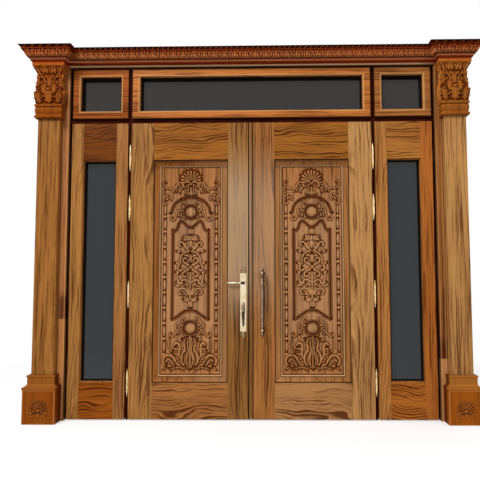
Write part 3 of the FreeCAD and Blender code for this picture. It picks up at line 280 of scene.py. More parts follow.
def wood(name, tone, axis, level=False, rings=46.0, figure=1.0, streaks=0.8, hollow=None, highlight=0.45,
         crest="E6B47A", shadow=None, paler_bands=(), darker_bands=(), quirk=None, lines=None, dull=False):
    """Varnished teak.  axis is the tree axis (across, behind, tilt in degrees) of the board.

    hollow is the colour of the painted shade in carved hollows, and the argument after it is
    how strongly the carved high edges take the crest colour, a painted highlight.  shadow is a
    painted shadow that darkens with depth: (start, full, tint, amount).  Two lists of bands
    between heights follow, laid under and over the carving's colours: paler bands, mostly
    painted sheen, and darker bands, mostly painted shade.  quirk is the place across the board
    of a narrow groove, painted dark as shade.  lines paints shade and highlight lines on the
    members of a mounted moulding: its middle and half sizes, then (from, to, tint, amount) in
    millimetres from its outer edge.  dull wood has next to no varnish.
    """
    material, tree, shader = new_material(name)
    place = object_place(tree)
    across, deep, up = (Value(part) for part in add(tree, "SeparateXYZ", i0=place).outputs)
    grain = place
    if level:
        grain = add(tree, "Mapping", Vector=place, Rotation=(0.0, math.radians(-90), 0.0)).outputs[0]
    beside, behind, tilt = axis
    grain = add(tree, "Mapping", Vector=grain, Location=(-beside, -behind, 0.0),
                Rotation=(math.radians(tilt), 0.0, 0.0)).outputs[0]
    mean = colour(tone)
    board = add(tree, "Group", {"node_tree": sawn_board}, Vector=grain, Light=shaded(mean, *LIGHTER),
                Dark=shaded(mean, *DARKER), Rings=rings, Figure=figure, Streaks=streaks).outputs
    # Painted sheen and other paler bands go under the carving's colours.
    paint = tinted_bands(paler_bands, across, up, board["Color"])
    # Painted shade in the carved hollows, and a painted highlight on the crests.
    if hollow:
        depth = Value(add(tree, "Attribute", {"attribute_name": "hollow"}).outputs["Fac"])
        paint = blend(depth.step("MULTIPLY", 1.0, clamp=True), paint, colour(hollow))
        paint = blend(depth.step("MULTIPLY", -highlight, clamp=True), paint, colour(crest))
    if shadow:
        start, full, tint, amount = shadow
        paint = blend(deep.ramp(start, full) * amount, paint, colour(tint))
    # Painted shade in the narrow groove.
    if quirk is not None:
        paint = blend(abs(across - quirk).ramp(QUIRK_SOFT, QUIRK_HALF), paint, colour(QUIRK_SHADE))
    # Painted shade and other darker bands go over them.
    paint = tinted_bands(darker_bands, across, up, paint)
    # Painted shade and painted highlight lines along the members of a moulding.
    if lines:
        (centre_x, centre_z, half_wide, half_tall), members = lines
        from_side = half_wide - abs(across - centre_x)
        inset = from_side.step("MINIMUM", half_tall - abs(up - centre_z))
        for start, end, tint, amount in members:
            line = inset.between((start - 1) * MM, start * MM, end * MM, (end + 1) * MM)
            paint = blend(line * amount, paint, colour(tint))
    bump = add(tree, "Bump", Strength=0.25, Distance=0.0008, Height=board["Height"]).outputs[0]
    dull = dull or hollow is not None
    join(shader, Base_Color=paint, Roughness=board["Roughness"], Normal=bump, Coat_Roughness=0.25,
         Specular_IOR_Level=0.01 if dull else 0.07, Coat_Weight=0.0 if dull else 0.02)
    return material


def dress(node, material):
    """Gives a measured piece its finish."""
    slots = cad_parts[node].data.materials
    slots.clear()
    slots.append(material)


# %% Boards of the leaves
# Each board: its tone, the tree axis beside and behind it, and the axis' tilt.
BOARDS = {
    "left_main_hinge_stile": ("936534", 0.12, 0.10, 1.2),
    "left_meeting_stile": ("84592B", -0.16, 0.12, 0.8),
    "right_meeting_stile": ("905C2C", 0.15, 0.10, -1.0),
    "right_main_hinge_stile": ("A27544", -0.03, 0.09, 2.4),
    "left_main_top_rail": ("8E561B", 0.05, 0.08, 4.0),
    "right_main_top_rail": ("88521A", 0.02, 0.05, -6.0),
    "left_main_bottom_rail": ("925E2F", 0.00, 0.05, 7.0),
    "right_main_bottom_rail": ("95683D", -0.06, 0.07, 4.0),
    "left_side_hinge_stile": ("916230", 0.10, 0.12, 1.0),
    "left_side_lock_stile": ("916032", -0.10, 0.10, -1.0),
    "right_side_lock_stile": ("996431", 0.12, 0.12, 0.8),
    "right_side_hinge_stile": ("995720", -0.20, 0.20, 1.0),
    "left_side_top_rail": ("693604", 0.14, 0.10, 2.0),
    "right_side_top_rail": ("A2682C", 0.12, 0.06, 3.0),
    "left_side_bottom_rail": ("89480C", 0.13, 0.07, -2.0),
    "right_side_bottom_rail": ("95551A", 0.03, 0.04, 6.0),
    "left_side_glazing_bead": ("8E5A2A", 0.2, 0.3, 1.0),
    "right_side_glazing_bead": ("8E5A2A", -0.2, 0.3, 1.0),
}
# How close the rings are, and how strong the figure and the streaks.
MAIN_STILE, MAIN_RAIL = (62.0, 1.05, 0.8), (50.0, 1.8, 0.4)
SIDE_STILE, SIDE_RAIL = (68.0, 0.9, 0.8), (52.0, 1.8, 0.4)
# A painted sheen makes the meeting stiles paler at mid-height, and each has a narrow groove beside its edge,
# painted dark as shade.
SHEEN_AMOUNTS = {"left_meeting_stile": 0.40, "right_meeting_stile": 0.26}
GROOVES = {"left_meeting_stile": -0.017, "right_meeting_stile": 0.013}
BEAD_SHADOW = (LEAF_FACE + 0.014, LEAF_FACE + 0.024, "120703", 1.0)

for name, (tone, beside, behind, tilt) in BOARDS.items():
    spot, level = middle(name), name.endswith("rail")
    across = spot.z if level else spot.x
    cuts = (SIDE_STILE, SIDE_RAIL) if "_side_" in name else (MAIN_STILE, MAIN_RAIL)
    # The painted sheen band of a meeting stile.
    highlight = [(0.60, 1.10, 1.60, 2.10, "CFB596", SHEEN_AMOUNTS[name])] if name in SHEEN_AMOUNTS else []
    dress(name, wood("teak_" + name, tone, (across + beside, spot.y + behind, tilt), level, *cuts[level],
                     shadow=BEAD_SHADOW if name.endswith("bead") else None, paler_bands=highlight,
                     quirk=GROOVES.get(name)))
print("boards of the leaves:", len(BOARDS))

# %% Mouldings round the panels and sashes of the fixed lights
for side, sign, tone, sheen in (("left", -1, "855022", 0.25), ("right", 1, "905F32", 0.08)):
    name = f"{side}_main_panel_moulding"
    outline = outline_of(name)
    wide = outline[2] / MM - FIELD_HALF
    # The members: painted shade in the outer cove, painted shade lines either side of the bead, and a painted
    # highlight on the bead.
    members = [(-5, 6, "1C0A03", 0.9), (wide - 19, wide - 14, "2A1206", 0.75),
               (wide - 14, wide - 6, "EEC48E", 0.62), (wide - 5, wide + 5, "241005", 0.85)]
    # A painted sheen pales the moulding towards the middle of the door, and painted shade darkens its top.
    dress(name, wood("teak_" + name, tone, (sign * PANEL_X, 0.3, 0.5), rings=80.0, figure=0.5,
                     paler_bands=[(-1, 0, 3, 4, "C8A070", sheen, 0.55)],
                     darker_bands=[(1.836, 1.850, 3, 4, "4A1600", 0.42)], lines=(outline, members)))

SASH_SHADOW = (LEAF_FACE + 0.014, LEAF_FACE + 0.026, "120703", 1.0)
# A painted shade line round the outer edge, a painted highlight on the inner slope, and painted shade deeper
# in the opening.
SASH_LINES = [(-5, 4, "2A0C04", 0.7), (46, 57, "E8B070", 0.5), (60, 90, "1A0F08", 0.85)]
for side, tone in (("left", "8B460A"), ("centre", "A8632B"), ("right", "925A2A")):
    name = f"{side}_transom_sash"
    dress(name, wood("teak_" + name, tone, (2.3, 0.25, 1.0), True, rings=60.0, shadow=SASH_SHADOW,
                     lines=(outline_of(name), SASH_LINES)))
print("width of a panel moulding in millimetres:", round(wide, 1))

# %% The frame, the casings and the pilaster shafts
# The recessed frame is toned very dark, as painted shade between the leaves and the lights.
for name in ("left_jamb", "right_jamb", "left_mullion", "right_mullion"):
    dress(name, wood("teak_" + name, "381006", (middle(name).x, 0.3, 1.0), figure=0.3, dull=True))
for name in ("transom_bar", "frame_head"):
    dress(name, wood("teak_" + name, "34100A", (middle(name).z, 0.3, 1.0), True, figure=0.3, dull=True))

# Each casing is paler below a height near its foot, and redder just above it.
CASING_BANDS = {
    "left_casing": {"paler_bands": [(-1, 0, 0.725, 0.730, "D08C48", 0.35)],
                    "darker_bands": [(0.730, 0.735, 0.860, 0.950, "461206", 0.80)]},
    "right_casing": {"paler_bands": [(-1, 0, 0.438, 0.443, "E0A468", 0.55)],
                     "darker_bands": [(0.443, 0.447, 0.520, 0.640, "4A1206", 0.85)]},
}
# A painted shade line at the long edges and a painted highlight line just inside them.
CASING_LINES = [(-5, 4, "1C0A03", 0.7), (5, 13, "CC9660", 0.4)]
# A half size this large puts the lines on the other pair of edges only.
ENDLESS = 5.0
for name, tone, beside in (("left_casing", "9A6238", 0.2), ("right_casing", "8A5628", -0.2),
                           ("left_shaft", "8A5927", 0.10), ("right_shaft", "A17340", -0.14)):
    centre, height, half, tall = outline_of(name)
    lines = ((centre, 1.0, half, ENDLESS), CASING_LINES) if name in CASING_BANDS else None
    dress(name, wood("teak_" + name, tone, (centre + beside, 0.16, 1.0), rings=62.0, figure=0.7,
                     lines=lines, **CASING_BANDS.get(name, {})))
# The head casing is toned lighter than the casings as painted light where the cornice shades it; a painted
# shade line runs along each long edge, and a painted highlight line inside it.
centre, height, half, tall = outline_of("head_casing")
dress("head_casing", wood("teak_head_casing", "C88C5A", (2.5, 0.2, 1.0), True, lines=(
    (0.0, height, ENDLESS, tall), [(-5, 3, "1C0A03", 0.8), (4, 15, "FFCE9C", 1.0)])))
print("height of the head casing:", round(2 * tall, 3))

# %% [markdown]
# Brass, bronze and steel are metals: metallic at one, with their colour in the base colour.
# A little noise in the roughness keeps a hand-finished look.  An Ambient Occlusion node
# could find the dark hollows, but it is slow, so a modelled piece stores painted shade in an
# attribute: dark in its hollows, and on turned pieces dark but for the side towards the lamp,
# which is left bright.

# %% Metals
def metal(name, tint, dark, rough, scale=40.0):
    material, tree, shader = new_material(name)
    cloud = add(tree, "TexNoise", Vector=object_place(tree), Scale=scale, Detail=4.0).outputs["Fac"]
    tone = Value(cloud).ramp(0.35, 0.7)
    paint = blend(tone, colour(tint), colour(dark))
    # Painted shade: the metal goes dark where its hollow attribute says.
    depth = Value(add(tree, "Attribute", {"attribute_name": "hollow"}).outputs["Fac"])
    paint = blend(depth.step("MULTIPLY", 0.9, clamp=True), paint, colour("1C1008"))
    join(shader, Base_Color=paint, Roughness=tone * 0.15 + rough, Metallic=1.0)
    return material


bright_brass = metal("bright_brass", "F0D9A8", "C9A468", 0.18)
pale_brass = metal("pale_brass", "F2E4C4", "D6BE90", 0.24)
antique_brass = metal("antique_brass", "B8A080", "8A7050", 0.28, 90.0)
old_bronze = metal("old_bronze", "A88C74", "8A7058", 0.30, 30.0)
dark_bronze = metal("dark_bronze", "3A2A1C", "17100A", 0.35)
steel = metal("brushed_steel", "B8B8BA", "8E8E90", 0.30)
for finish, names in ((bright_brass, ["main_hinge_frame_parts", "left_main_hinge_leaf_parts",
                                      "right_main_hinge_leaf_parts"]),
                      (dark_bronze, ["side_hinge_frame_parts", "left_side_hinge_leaf_parts",
                                     "right_side_hinge_leaf_parts"]),
                      (pale_brass, ["handle_plate", "lever"]), (antique_brass, ["grip", "pull"]),
                      (steel, ["lock_case", "lock_bolt"])):
    for name in names:
        dress(name, finish)
    print(finish.name, "on", ", ".join(names))

# %% [markdown]
# The real panes have a dim hall behind them and look almost black.  Clear glass would show
# the pale surround through the door, so this is a dark tinted glass that lets little through.

# %% Glass
def glass(name, tint):
    material, tree, shader = new_material(name)
    join(shader, Base_Color=colour(tint), Roughness=0.04, IOR=1.45, Transmission_Weight=0.35)
    return material


for finish, names in ((glass("smoked_glass", "2A2622"), ("left_transom", "centre_transom", "right_transom")),
                      (glass("clear_glass", "262A2D"), ("left_side", "right_side"))):
    for name in names:
        dress(name + "_glass", finish)
    print(finish.name, "in", ", ".join(names))

# %% [markdown]
# Each panel is one board.  A carver draws the scrolls, cuts the ground away round them and
# rounds every form over, so each leaf is a low swell with a hollow round it, painted darker
# as shade.  A height map pressed into the board would blur the steep sides, so each form is
# modelled: a ball drawn out along a path.  Its rings follow the path, its top is rounded, and
# its keel sits in the ground.  A leaf is a rib with lobes set along both sides.  Capitals and
# plinths are carved the same way, with the design laid on another surface.

# %% Sections of the drawn forms
# A section is a form's outline, corner by corner: how far across and how high, keel last.
ROUND = [(-1, 0), (-0.74, 0.7), (0, 1), (0.74, 0.7), (1, 0), (0, -1)]
CLEFT = [(-1, 0), (-0.78, 0.75), (-0.4, 1), (0, 0.45), (0.4, 1), (0.78, 0.75), (1, 0), (0, -1)]
CHANNEL = [(-1, 0), (-0.9, 0.8), (-0.74, 0.8), (-0.58, 0.02), (0.58, 0.02), (0.74, 0.8), (0.9, 0.8), (1, 0),
           (0, -1)]
SUNK = [(-1, 0), (-0.8, 0.15), (0.8, 0.15), (1, 0), (0, -1)]
# In millimetres: how deep the ground is cut, how far from a form that reaches, the keel.
GROUND_CUT, CUT_REACH, KEEL = 2.5, 8.0, 1.5
SPAN_STEPS, SCROLL_STEPS, SCROLL_EYE = 8, 7, 0.3


# %% Paths, and forms added to a shape
def soft_path(points):
    """A soft curve through the points, as closely set places."""
    ends = [points[0]] + list(points) + [points[-1]]
    curve = []
    for before, start, end, after in zip(ends, ends[1:], ends[2:], ends[3:]):
        for step in range(SPAN_STEPS):
            t = step / SPAN_STEPS
            place = []
            for a, b, c, d in zip(before, start, end, after):
                place.append(b + (c - a) * t / 2 + (2 * a - 5 * b + 4 * c - d) * t * t / 2
                             + (3 * b - a - 3 * c + d) * t ** 3 / 2)
            curve.append(Vector(place))
    return curve + [Vector(points[-1])]


def along(curve, rings):
    """Evenly spaced places on a curve, with the heading and the way to the nearer end."""
    run = [0.0]
    for start, end in zip(curve, curve[1:]):
        run.append(run[-1] + (end - start).length)
    stops, index = [], 0
    for ring in range(rings + 1):
        want = run[-1] * ring / rings
        while index < len(curve) - 2 and run[index + 1] < want:
            index += 1
        span = max(run[index + 1] - run[index], 1e-9)
        place = curve[index].lerp(curve[index + 1], min(1.0, (want - run[index]) / span))
        heading = (curve[index + 1] - curve[index]).normalized()
        stops.append((place, heading, max(0.0, min(want, run[-1] - want))))
    return stops


def fold_in(form, shape):
    """Adds a finished form to a shape, smooth all over."""
    for face in form.faces:
        face.smooth = True
    mesh = bpy.data.meshes.new("form")
    form.to_mesh(mesh)
    form.free()
    shape.from_mesh(mesh)
    bpy.data.meshes.remove(mesh)


def mirrored(points):
    return [(-u, z) for u, z in points]


def ray(centre, degrees, reaches, squeeze=1.0):
    """Places along a ray from a centre, squeezed across."""
    angle = math.radians(degrees)
    way = Vector((math.cos(angle) * squeeze, math.sin(angle)))
    return [Vector(centre) + way * reach for reach in reaches]


# %% One carved surface
class Carving:
    """One carved surface: its mesh, the way forms are laid on it, and the places cut."""

    def __init__(self, lay):
        self.shape = bmesh.new()
        self.hollow = self.shape.verts.layers.float.new("hollow")
        self.lay = lay
        self.cuts = []
        self.fat = 1.0

    def ball(self, around, rings, place_corner):
        """Adds a ball whose corners are moved one by one."""
        form = bmesh.new()
        hollow = form.verts.layers.float.new("hollow")
        bmesh.ops.create_uvsphere(form, u_segments=around, v_segments=rings, radius=1)
        for corner in form.verts:
            corner.co, corner[hollow] = place_corner(corner.co)
        fold_in(form, self.shape)

    def stroke(self, points, wide, high, section=ROUND, grade=(1, 1, 1), fine=1.0):
        """A form drawn along a path.  grade is its width at the start, the middle and the end."""
        wide *= self.fat
        curve = soft_path(points)
        length = sum((b - a).length for a, b in zip(curve, curve[1:]))
        rings = int(min(40, max(5, fine * length / (0.75 * wide))))
        stops = along(curve, rings)

        def on_path(spot):
            ring = round(math.acos(max(-1.0, min(1.0, spot.z))) / math.pi * rings)
            place, heading, to_end = stops[ring]
            turn = math.atan2(spot.y, spot.x) / math.tau
            across, rise = section[round(turn * len(section)) % len(section)]
            share = ring / rings
            left = 1 - share
            swell = grade[0] * left ** 2 + 2 * grade[1] * share * left + grade[2] * share ** 2
            cap = math.sqrt(min(1.0, to_end / (wide * swell + 1e-6)))
            side = Vector((heading.y, -heading.x))
            at = place + side * (across * wide * swell * cap)
            # The keel stays in the ground, and the ends come down to it.
            lift = rise * KEEL - GROUND_CUT
            if rise > 0:
                lift = rise * high * (0.35 + 0.65 * cap) * min(1.0, 0.4 + 0.6 * swell)
            if ring in (0, rings):
                lift = -GROUND_CUT
            # Painted shade sits low on the form, and its crest takes a painted highlight.
            dark = max(0.0, 1.0 - max(rise, 0.0) * (0.4 + 0.6 * cap)) ** 1.5
            if rise >= 0.95:
                dark = -cap
            return self.lay(at.x * MM, at.y * MM, lift * MM), dark

        self.ball(len(section), rings, on_path)
        for place, heading, to_end in along(curve, max(3, int(length / 4))):
            self.cuts.append((place, wide * 0.8))

    def both(self, points, *args, **options):
        self.stroke(points, *args, **options)
        self.stroke(mirrored(points), *args, **options)

    def button(self, u, z, radius, high, around=16, shine=1.4):
        """A round boss, painted darker round its foot as shade.  More shine paints a lighter highlight on its
        crown.
        """
        def domed(spot):
            lift = high * spot.z if spot.z > 0 else GROUND_CUT * KEEL * spot.z
            place = self.lay((u + spot.x * radius) * MM, (z + spot.y * radius) * MM, lift * MM)
            return place, 0.6 - shine * max(spot.z, 0.0)

        self.ball(around, 8, domed)
        self.cuts.append((Vector((u, z)), radius * 0.7))

    def buttons(self, u, z, *args):
        self.button(u, z, *args)
        self.button(-u, z, *args)

    def leaf(self, points, wide, high, lobes):
        """A rib with lobes that lean towards the leaf's tip."""
        self.stroke(points, wide * 0.42, high, grade=(0.9, 1.0, 0.5))
        stops = along(soft_path(points), lobes + 1)
        for number, (place, heading, to_end) in enumerate(stops[:-1]):
            grow = wide * (1.0 - 0.45 * number / (lobes + 1))
            for hand in (1, -1):
                side = Vector((heading.y, -heading.x)) * hand
                tip = place + side * grow + heading * grow * 1.1
                waist = place + side * grow * 0.75 + heading * grow * 0.35
                self.stroke([place, waist, tip], wide * 0.34, high * 0.85, grade=(0.8, 1.25, 0.7))

    def leaves(self, points, *args):
        self.leaf(points, *args)
        self.leaf(mirrored(points), *args)

    def depth_at(self, tree, u, z):
        """How deep the ground is cut at a place, from nothing to one."""
        near = tree.find_n((u, z, 0.0), 4)
        nearest = min(distance - self.cuts[index][1] for place, index, distance in near)
        share = max(0.0, min(1.0, 1.0 - nearest / CUT_REACH))
        return share * share * (3 - 2 * share)

    def cut_tree(self):
        tree = kdtree.KDTree(len(self.cuts))
        for index, (place, reach) in enumerate(self.cuts):
            tree.insert((place.x, place.y, 0.0), index)
        tree.balance()
        return tree


# %% Volutes, boxes and finished pieces
def scroll(u, z, radius, start, turn):
    """The places along a volute that closes in on its eye."""
    spots = []
    for step in range(SCROLL_STEPS + 1):
        share = step / SCROLL_STEPS
        spots += ray((u, z), start + turn * share, [radius * (1 - (1 - SCROLL_EYE) * share)])
    return spots


def finish_piece(shape, name, material, body, instead=None):
    """Turns a finished shape into a piece that rides its body, instead of a measured one."""
    bmesh.ops.recalc_face_normals(shape, faces=shape.faces)
    mesh = bpy.data.meshes.new(name)
    shape.to_mesh(mesh)
    shape.free()
    made = bpy.data.objects.new(name, mesh)
    bpy.context.collection.objects.link(made)
    mesh.materials.append(material)
    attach(made, body)
    if instead:
        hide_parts(instead)
    print(name, "faces", len(mesh.polygons))


def block(shape, low, high):
    """A plain box between two corners."""
    size = [top - bottom for bottom, top in zip(low, high)]
    centre = Vector([(top + bottom) / 2 for bottom, top in zip(low, high)])
    stance = Matrix.Translation(centre) @ Matrix.Diagonal((*size, 1.0))
    bmesh.ops.create_cube(shape, size=1.0, matrix=stance)


# %% [markdown]
# The design hangs on the panel's middle line.  From the top: a shell on scrolls, an arch
# over a roundel, a shaped frame round a hanging spray of scrolls, a second roundel, and a
# broad acanthus at the foot.  A chain of beads and reels runs down either side.  Places
# are in millimetres: across from that line, and up from the floor.

# %% The panel's shell and the scrolls in its corners
def shell_crest(work):
    for step in range(-5, 6):
        reach = 88 if abs(step) < 4 else 80
        work.stroke(ray((0, 1744), 90 + 19.5 * step, (8, 45, reach)), 12.5, 10, grade=(0.15, 0.55, 1.0),
                    fine=1.6)
    work.both([(3, 1716), (10, 1738), (30, 1746), (50, 1734), (54, 1714), (42, 1702), (31, 1709),
               (38, 1717)], 6, 8)
    work.both(scroll(76, 1708, 20, 100, 430), 6, 8)
    work.both([(64, 1734), (86, 1738), (106, 1714), (132, 1694), (162, 1690), (190, 1700), (204, 1722),
               (200, 1741), (188, 1744), (185, 1735)], 7, 9, grade=(1.1, 1.1, 0.6))
    work.leaves([(92, 1728), (112, 1696), (104, 1664)], 13, 8, 2)
    work.both([(112, 1706), (130, 1684), (126, 1662)], 7, 7)
    work.both([(62, 1694), (80, 1682), (80, 1660)], 8, 7)
    work.stroke([(0, 1706), (0, 1634)], 10, 9, CLEFT, grade=(0.5, 1.1, 0.7))
    work.both([(10, 1700), (22, 1688), (18, 1672), (26, 1656), (40, 1648)], 7, 8)
    work.both([(5, 1668), (14, 1650), (22, 1642)], 7, 7)


def corner_scrolls(work):
    work.both([(158, 1610), (149, 1606), (140, 1618), (143, 1636), (158, 1648), (180, 1644), (199, 1624),
               (206, 1600), (200, 1580), (184, 1576), (178, 1587), (186, 1593)], 6.5, 8)
    work.both([(190, 1650), (199, 1664), (194, 1678)], 7, 7, grade=(0.6, 1.2, 0.6))
    work.both([(176, 1638), (172, 1620), (182, 1606)], 7, 7)


# %% The arch, the roundels and the shaped frame
def arch_and_roundel(work):
    half = [(20, 1628), (55, 1620), (90, 1603), (119, 1578), (136, 1546), (143, 1516), (154, 1508)]
    work.stroke(mirrored(half)[::-1] + half, 10, 8, CHANNEL)
    roundel(work, 1517)
    work.both([(47, 1570), (38, 1577), (44, 1592), (62, 1590), (76, 1570), (79, 1545), (70, 1525), (59, 1524),
               (61, 1535)], 6.5, 8)
    work.both([(78, 1552), (97, 1540), (105, 1512), (110, 1482), (124, 1458), (143, 1456), (152, 1470),
               (144, 1482), (135, 1476)], 6.5, 8)
    work.leaves([(88, 1530), (92, 1506), (84, 1478)], 11, 7, 2)
    work.both([(62, 1512), (72, 1496), (64, 1478)], 7, 7)
    work.both([(52, 1494), (52, 1478), (42, 1468)], 6, 6)


def roundel(work, level):
    work.button(0, level, 37, 7, 28)
    around = [spot for step in range(14) for spot in ray((0, level), 30 * step, [48])]
    work.stroke(around, 10, 9, CHANNEL)


def shaped_frame(work):
    top = [(134, 1368), (118, 1376), (101, 1394), (90, 1426), (77, 1448), (60, 1446), (38, 1424), (18, 1408)]
    work.stroke(mirrored(top) + [(0, 1403)] + top[::-1], 10, 7, CHANNEL)
    work.both([(133, 1384), (133, 1050), (133, 724)], 11, 7, CHANNEL, fine=0.5)
    foot = [(136, 730), (114, 734), (80, 756), (44, 781)]
    work.stroke(mirrored(foot) + [(0, 791)] + foot[::-1], 10, 7, CHANNEL)


# %% The hanging spray
def hanging_spray(work):
    work.stroke([(0, 1346), (0, 1394)], 9, 9, CLEFT, grade=(0.5, 1.1, 0.8))
    work.both([(3, 1350), (14, 1368), (12, 1390)], 6, 7)
    work.leaves([(4, 1318), (28, 1332), (58, 1328)], 13, 9, 2)
    work.both([(4, 1312), (32, 1314), (60, 1304)], 8, 8, CLEFT)
    work.stroke([(0, 1346), (0, 1238)], 6, 8)
    work.both([(5, 1304), (12, 1266), (30, 1242)], 6, 8)
    work.both([(10, 1236), (30, 1244), (46, 1264), (56, 1286), (74, 1292), (86, 1277), (77, 1262),
               (66, 1269)], 7, 9)
    work.both([(18, 1242), (38, 1262), (42, 1292)], 7, 8, CLEFT)
    work.both([(0, 1228), (22, 1224), (50, 1208), (68, 1184), (74, 1156), (72, 1128)], 6.5, 9)
    for level, out in ((1214, 80), (1128, 88), (1060, 88), (984, 80)):
        work.both([(out - 6, level), (out + 10, level + 10), (out + 24, level + 12)], 8, 8, CLEFT)
    work.stroke([(0, 1134), (0, 1204)], 11, 9, CLEFT, grade=(0.6, 1.2, 0.6))
    work.both([(6, 1122), (24, 1128), (44, 1138), (57, 1156), (47, 1175), (32, 1170), (36, 1157)], 7, 9)
    work.both([(12, 1180), (28, 1194), (48, 1190)], 7, 8)
    work.both([(72, 1136), (88, 1118), (91, 1094), (78, 1080), (66, 1088), (72, 1099)], 7, 9)
    work.button(0, 1106, 12, 9)
    for degrees in (45, 135, 225, 315):
        work.stroke(ray((0, 1106), degrees, (12, 34)), 8, 8, CLEFT)
    work.both([(6, 1092), (24, 1084), (44, 1072), (57, 1054), (47, 1036), (32, 1041), (37, 1053)], 7, 9)
    work.both([(88, 1074), (97, 1046), (92, 1014), (78, 994)], 6.5, 8)
    work.stroke([(0, 1076), (0, 958)], 8, 9, CLEFT, grade=(0.8, 1.1, 0.6))
    work.both([(4, 988), (24, 1006), (46, 1014), (64, 1002), (60, 985), (48, 988)], 7, 9)
    work.both([(62, 1000), (78, 980), (96, 968), (108, 978), (102, 990)], 7, 8)
    work.both([(8, 898), (22, 922), (40, 944), (62, 951), (83, 938), (85, 918), (72, 908), (63, 918)], 7, 9)
    work.stroke([(0, 968), (0, 868)], 7, 8)
    work.both([(6, 900), (14, 934), (32, 962)], 7, 8)
    work.leaves([(4, 866), (28, 876), (54, 894)], 12, 9, 2)
    work.both([(4, 860), (30, 862), (52, 870)], 8, 8, CLEFT)
    work.stroke([(0, 862), (0, 806)], 9, 9, CLEFT, grade=(0.5, 1.1, 0.8))
    work.both([(3, 854), (14, 832), (12, 812)], 6, 7)


# %% The acanthus at the foot and the chains of beads
def acanthus_foot(work):
    roundel(work, 661)
    work.both([(46, 712), (36, 720), (46, 733), (64, 730), (76, 710), (72, 688), (60, 680), (54, 692)],
              6.5, 8)
    work.both([(76, 704), (95, 694), (105, 670), (100, 644), (108, 620), (126, 602), (146, 604), (150, 618),
               (139, 622)], 6.5, 8)
    work.leaves([(68, 664), (86, 640), (92, 612)], 12, 8, 2)
    work.both([(52, 628), (62, 612), (56, 596)], 7, 8)
    work.stroke([(0, 608), (0, 480), (0, 362)], 10, 11, CLEFT, grade=(0.6, 1.0, 0.8))
    work.both([(9, 600), (17, 548), (11, 492), (22, 430), (12, 370)], 7, 9, grade=(0.5, 1.4, 0.7))
    work.both([(22, 596), (42, 560), (34, 512), (56, 466), (58, 420), (36, 384)], 11, 12,
              grade=(0.4, 1.4, 0.8))
    work.both([(34, 506), (22, 470), (36, 424), (24, 392)], 8, 10, grade=(0.5, 1.3, 0.7))
    work.both([(44, 592), (60, 604), (76, 590), (70, 568), (58, 572)], 9, 11, grade=(0.8, 1.3, 1.0))
    work.both([(60, 424), (80, 470), (76, 522), (92, 552), (112, 544), (110, 526)], 11, 11,
              grade=(0.6, 1.4, 0.9))
    work.both([(78, 500), (100, 512), (120, 500)], 9, 10, grade=(0.6, 1.3, 0.5))
    work.both([(72, 452), (96, 474), (122, 470)], 9, 10, grade=(0.6, 1.3, 0.5))
    work.both([(58, 388), (92, 400), (112, 434), (138, 462), (172, 462), (194, 436), (192, 404), (174, 388)],
              11, 13, grade=(0.6, 1.2, 1.1))
    work.both([(108, 384), (128, 402), (146, 430), (168, 428), (170, 408)], 8, 11, grade=(0.6, 1.2, 1.0))
    work.both([(132, 378), (150, 392), (160, 374)], 8, 9)
    work.leaves([(34, 366), (76, 376), (112, 372), (146, 360)], 13, 9, 3)
    work.both([(132, 486), (152, 514), (156, 552), (148, 590)], 6, 7)
    work.both([(176, 384), (184, 366), (196, 358)], 7, 8)
    work.buttons(88, 436, 8, 10)
    work.buttons(46, 532, 7, 10)


def bead_chains(work):
    out, top_bead, pitch = 191, 1483, 112.4
    for number in range(10):
        level = top_bead - pitch * number
        work.buttons(out, level, 10.5, 12, 12, 2.4)
        low_end = level + 15
        high_end = 1572 if number == 0 else level + pitch - 15
        reel = [(out, low_end), (out, (low_end + high_end) / 2), (out, high_end)]
        work.both(reel, 12, 7, ROUND, grade=(0.2, 1.7, 0.2), fine=1.4)


def carve_panel(work):
    shell_crest(work)
    corner_scrolls(work)
    arch_and_roundel(work)
    shaped_frame(work)
    bead_chains(work)
    acanthus_foot(work)
    # The spray is cut fuller than the rest.
    work.fat = 1.3
    hanging_spray(work)


# %% Panels with their carving
# How far behind the leaf's face the carved field and the tongue round it lie.
FIELD_DEPTH, TONGUE_DEPTH = 0.014, 0.028
CELLS_ACROSS, CELLS_UP = 96, 320


def carved_field(work):
    """The board's raised field, its face cut down round the carved forms."""
    def on_field(corner):
        return corner.co.x * FIELD_HALF, (corner.co.y + 1) / 2 * (FIELD_TOP - FIELD_FOOT) + FIELD_FOOT

    shape, tree = work.shape, work.cut_tree()
    face = bmesh.ops.create_grid(shape, x_segments=CELLS_ACROSS, y_segments=CELLS_UP, size=1.0)["verts"]
    rim = [edge for edge in {e for v in face for e in v.link_edges} if edge.is_boundary]
    back = bmesh.ops.extrude_edge_only(shape, edges=rim)["geom"]
    edge_verts = {item for item in back if isinstance(item, bmesh.types.BMVert)}
    for corner in face:
        u, z = on_field(corner)
        cut = work.depth_at(tree, u, z)
        # The ground cut round the forms is painted dark as shade.
        corner[work.hollow] = cut
        corner.co = work.lay(u * MM, z * MM, -cut * GROUND_CUT * MM)
    for corner in edge_verts:
        u, z = on_field(corner)
        corner.co = work.lay(u * MM, z * MM, FIELD_DEPTH - TONGUE_DEPTH)
    bmesh.ops.contextual_create(shape, geom=[item for item in back if isinstance(item, bmesh.types.BMEdge)])


def on_panel(u, z, h):
    return Vector((u, LEAF_FACE + FIELD_DEPTH - h, z))


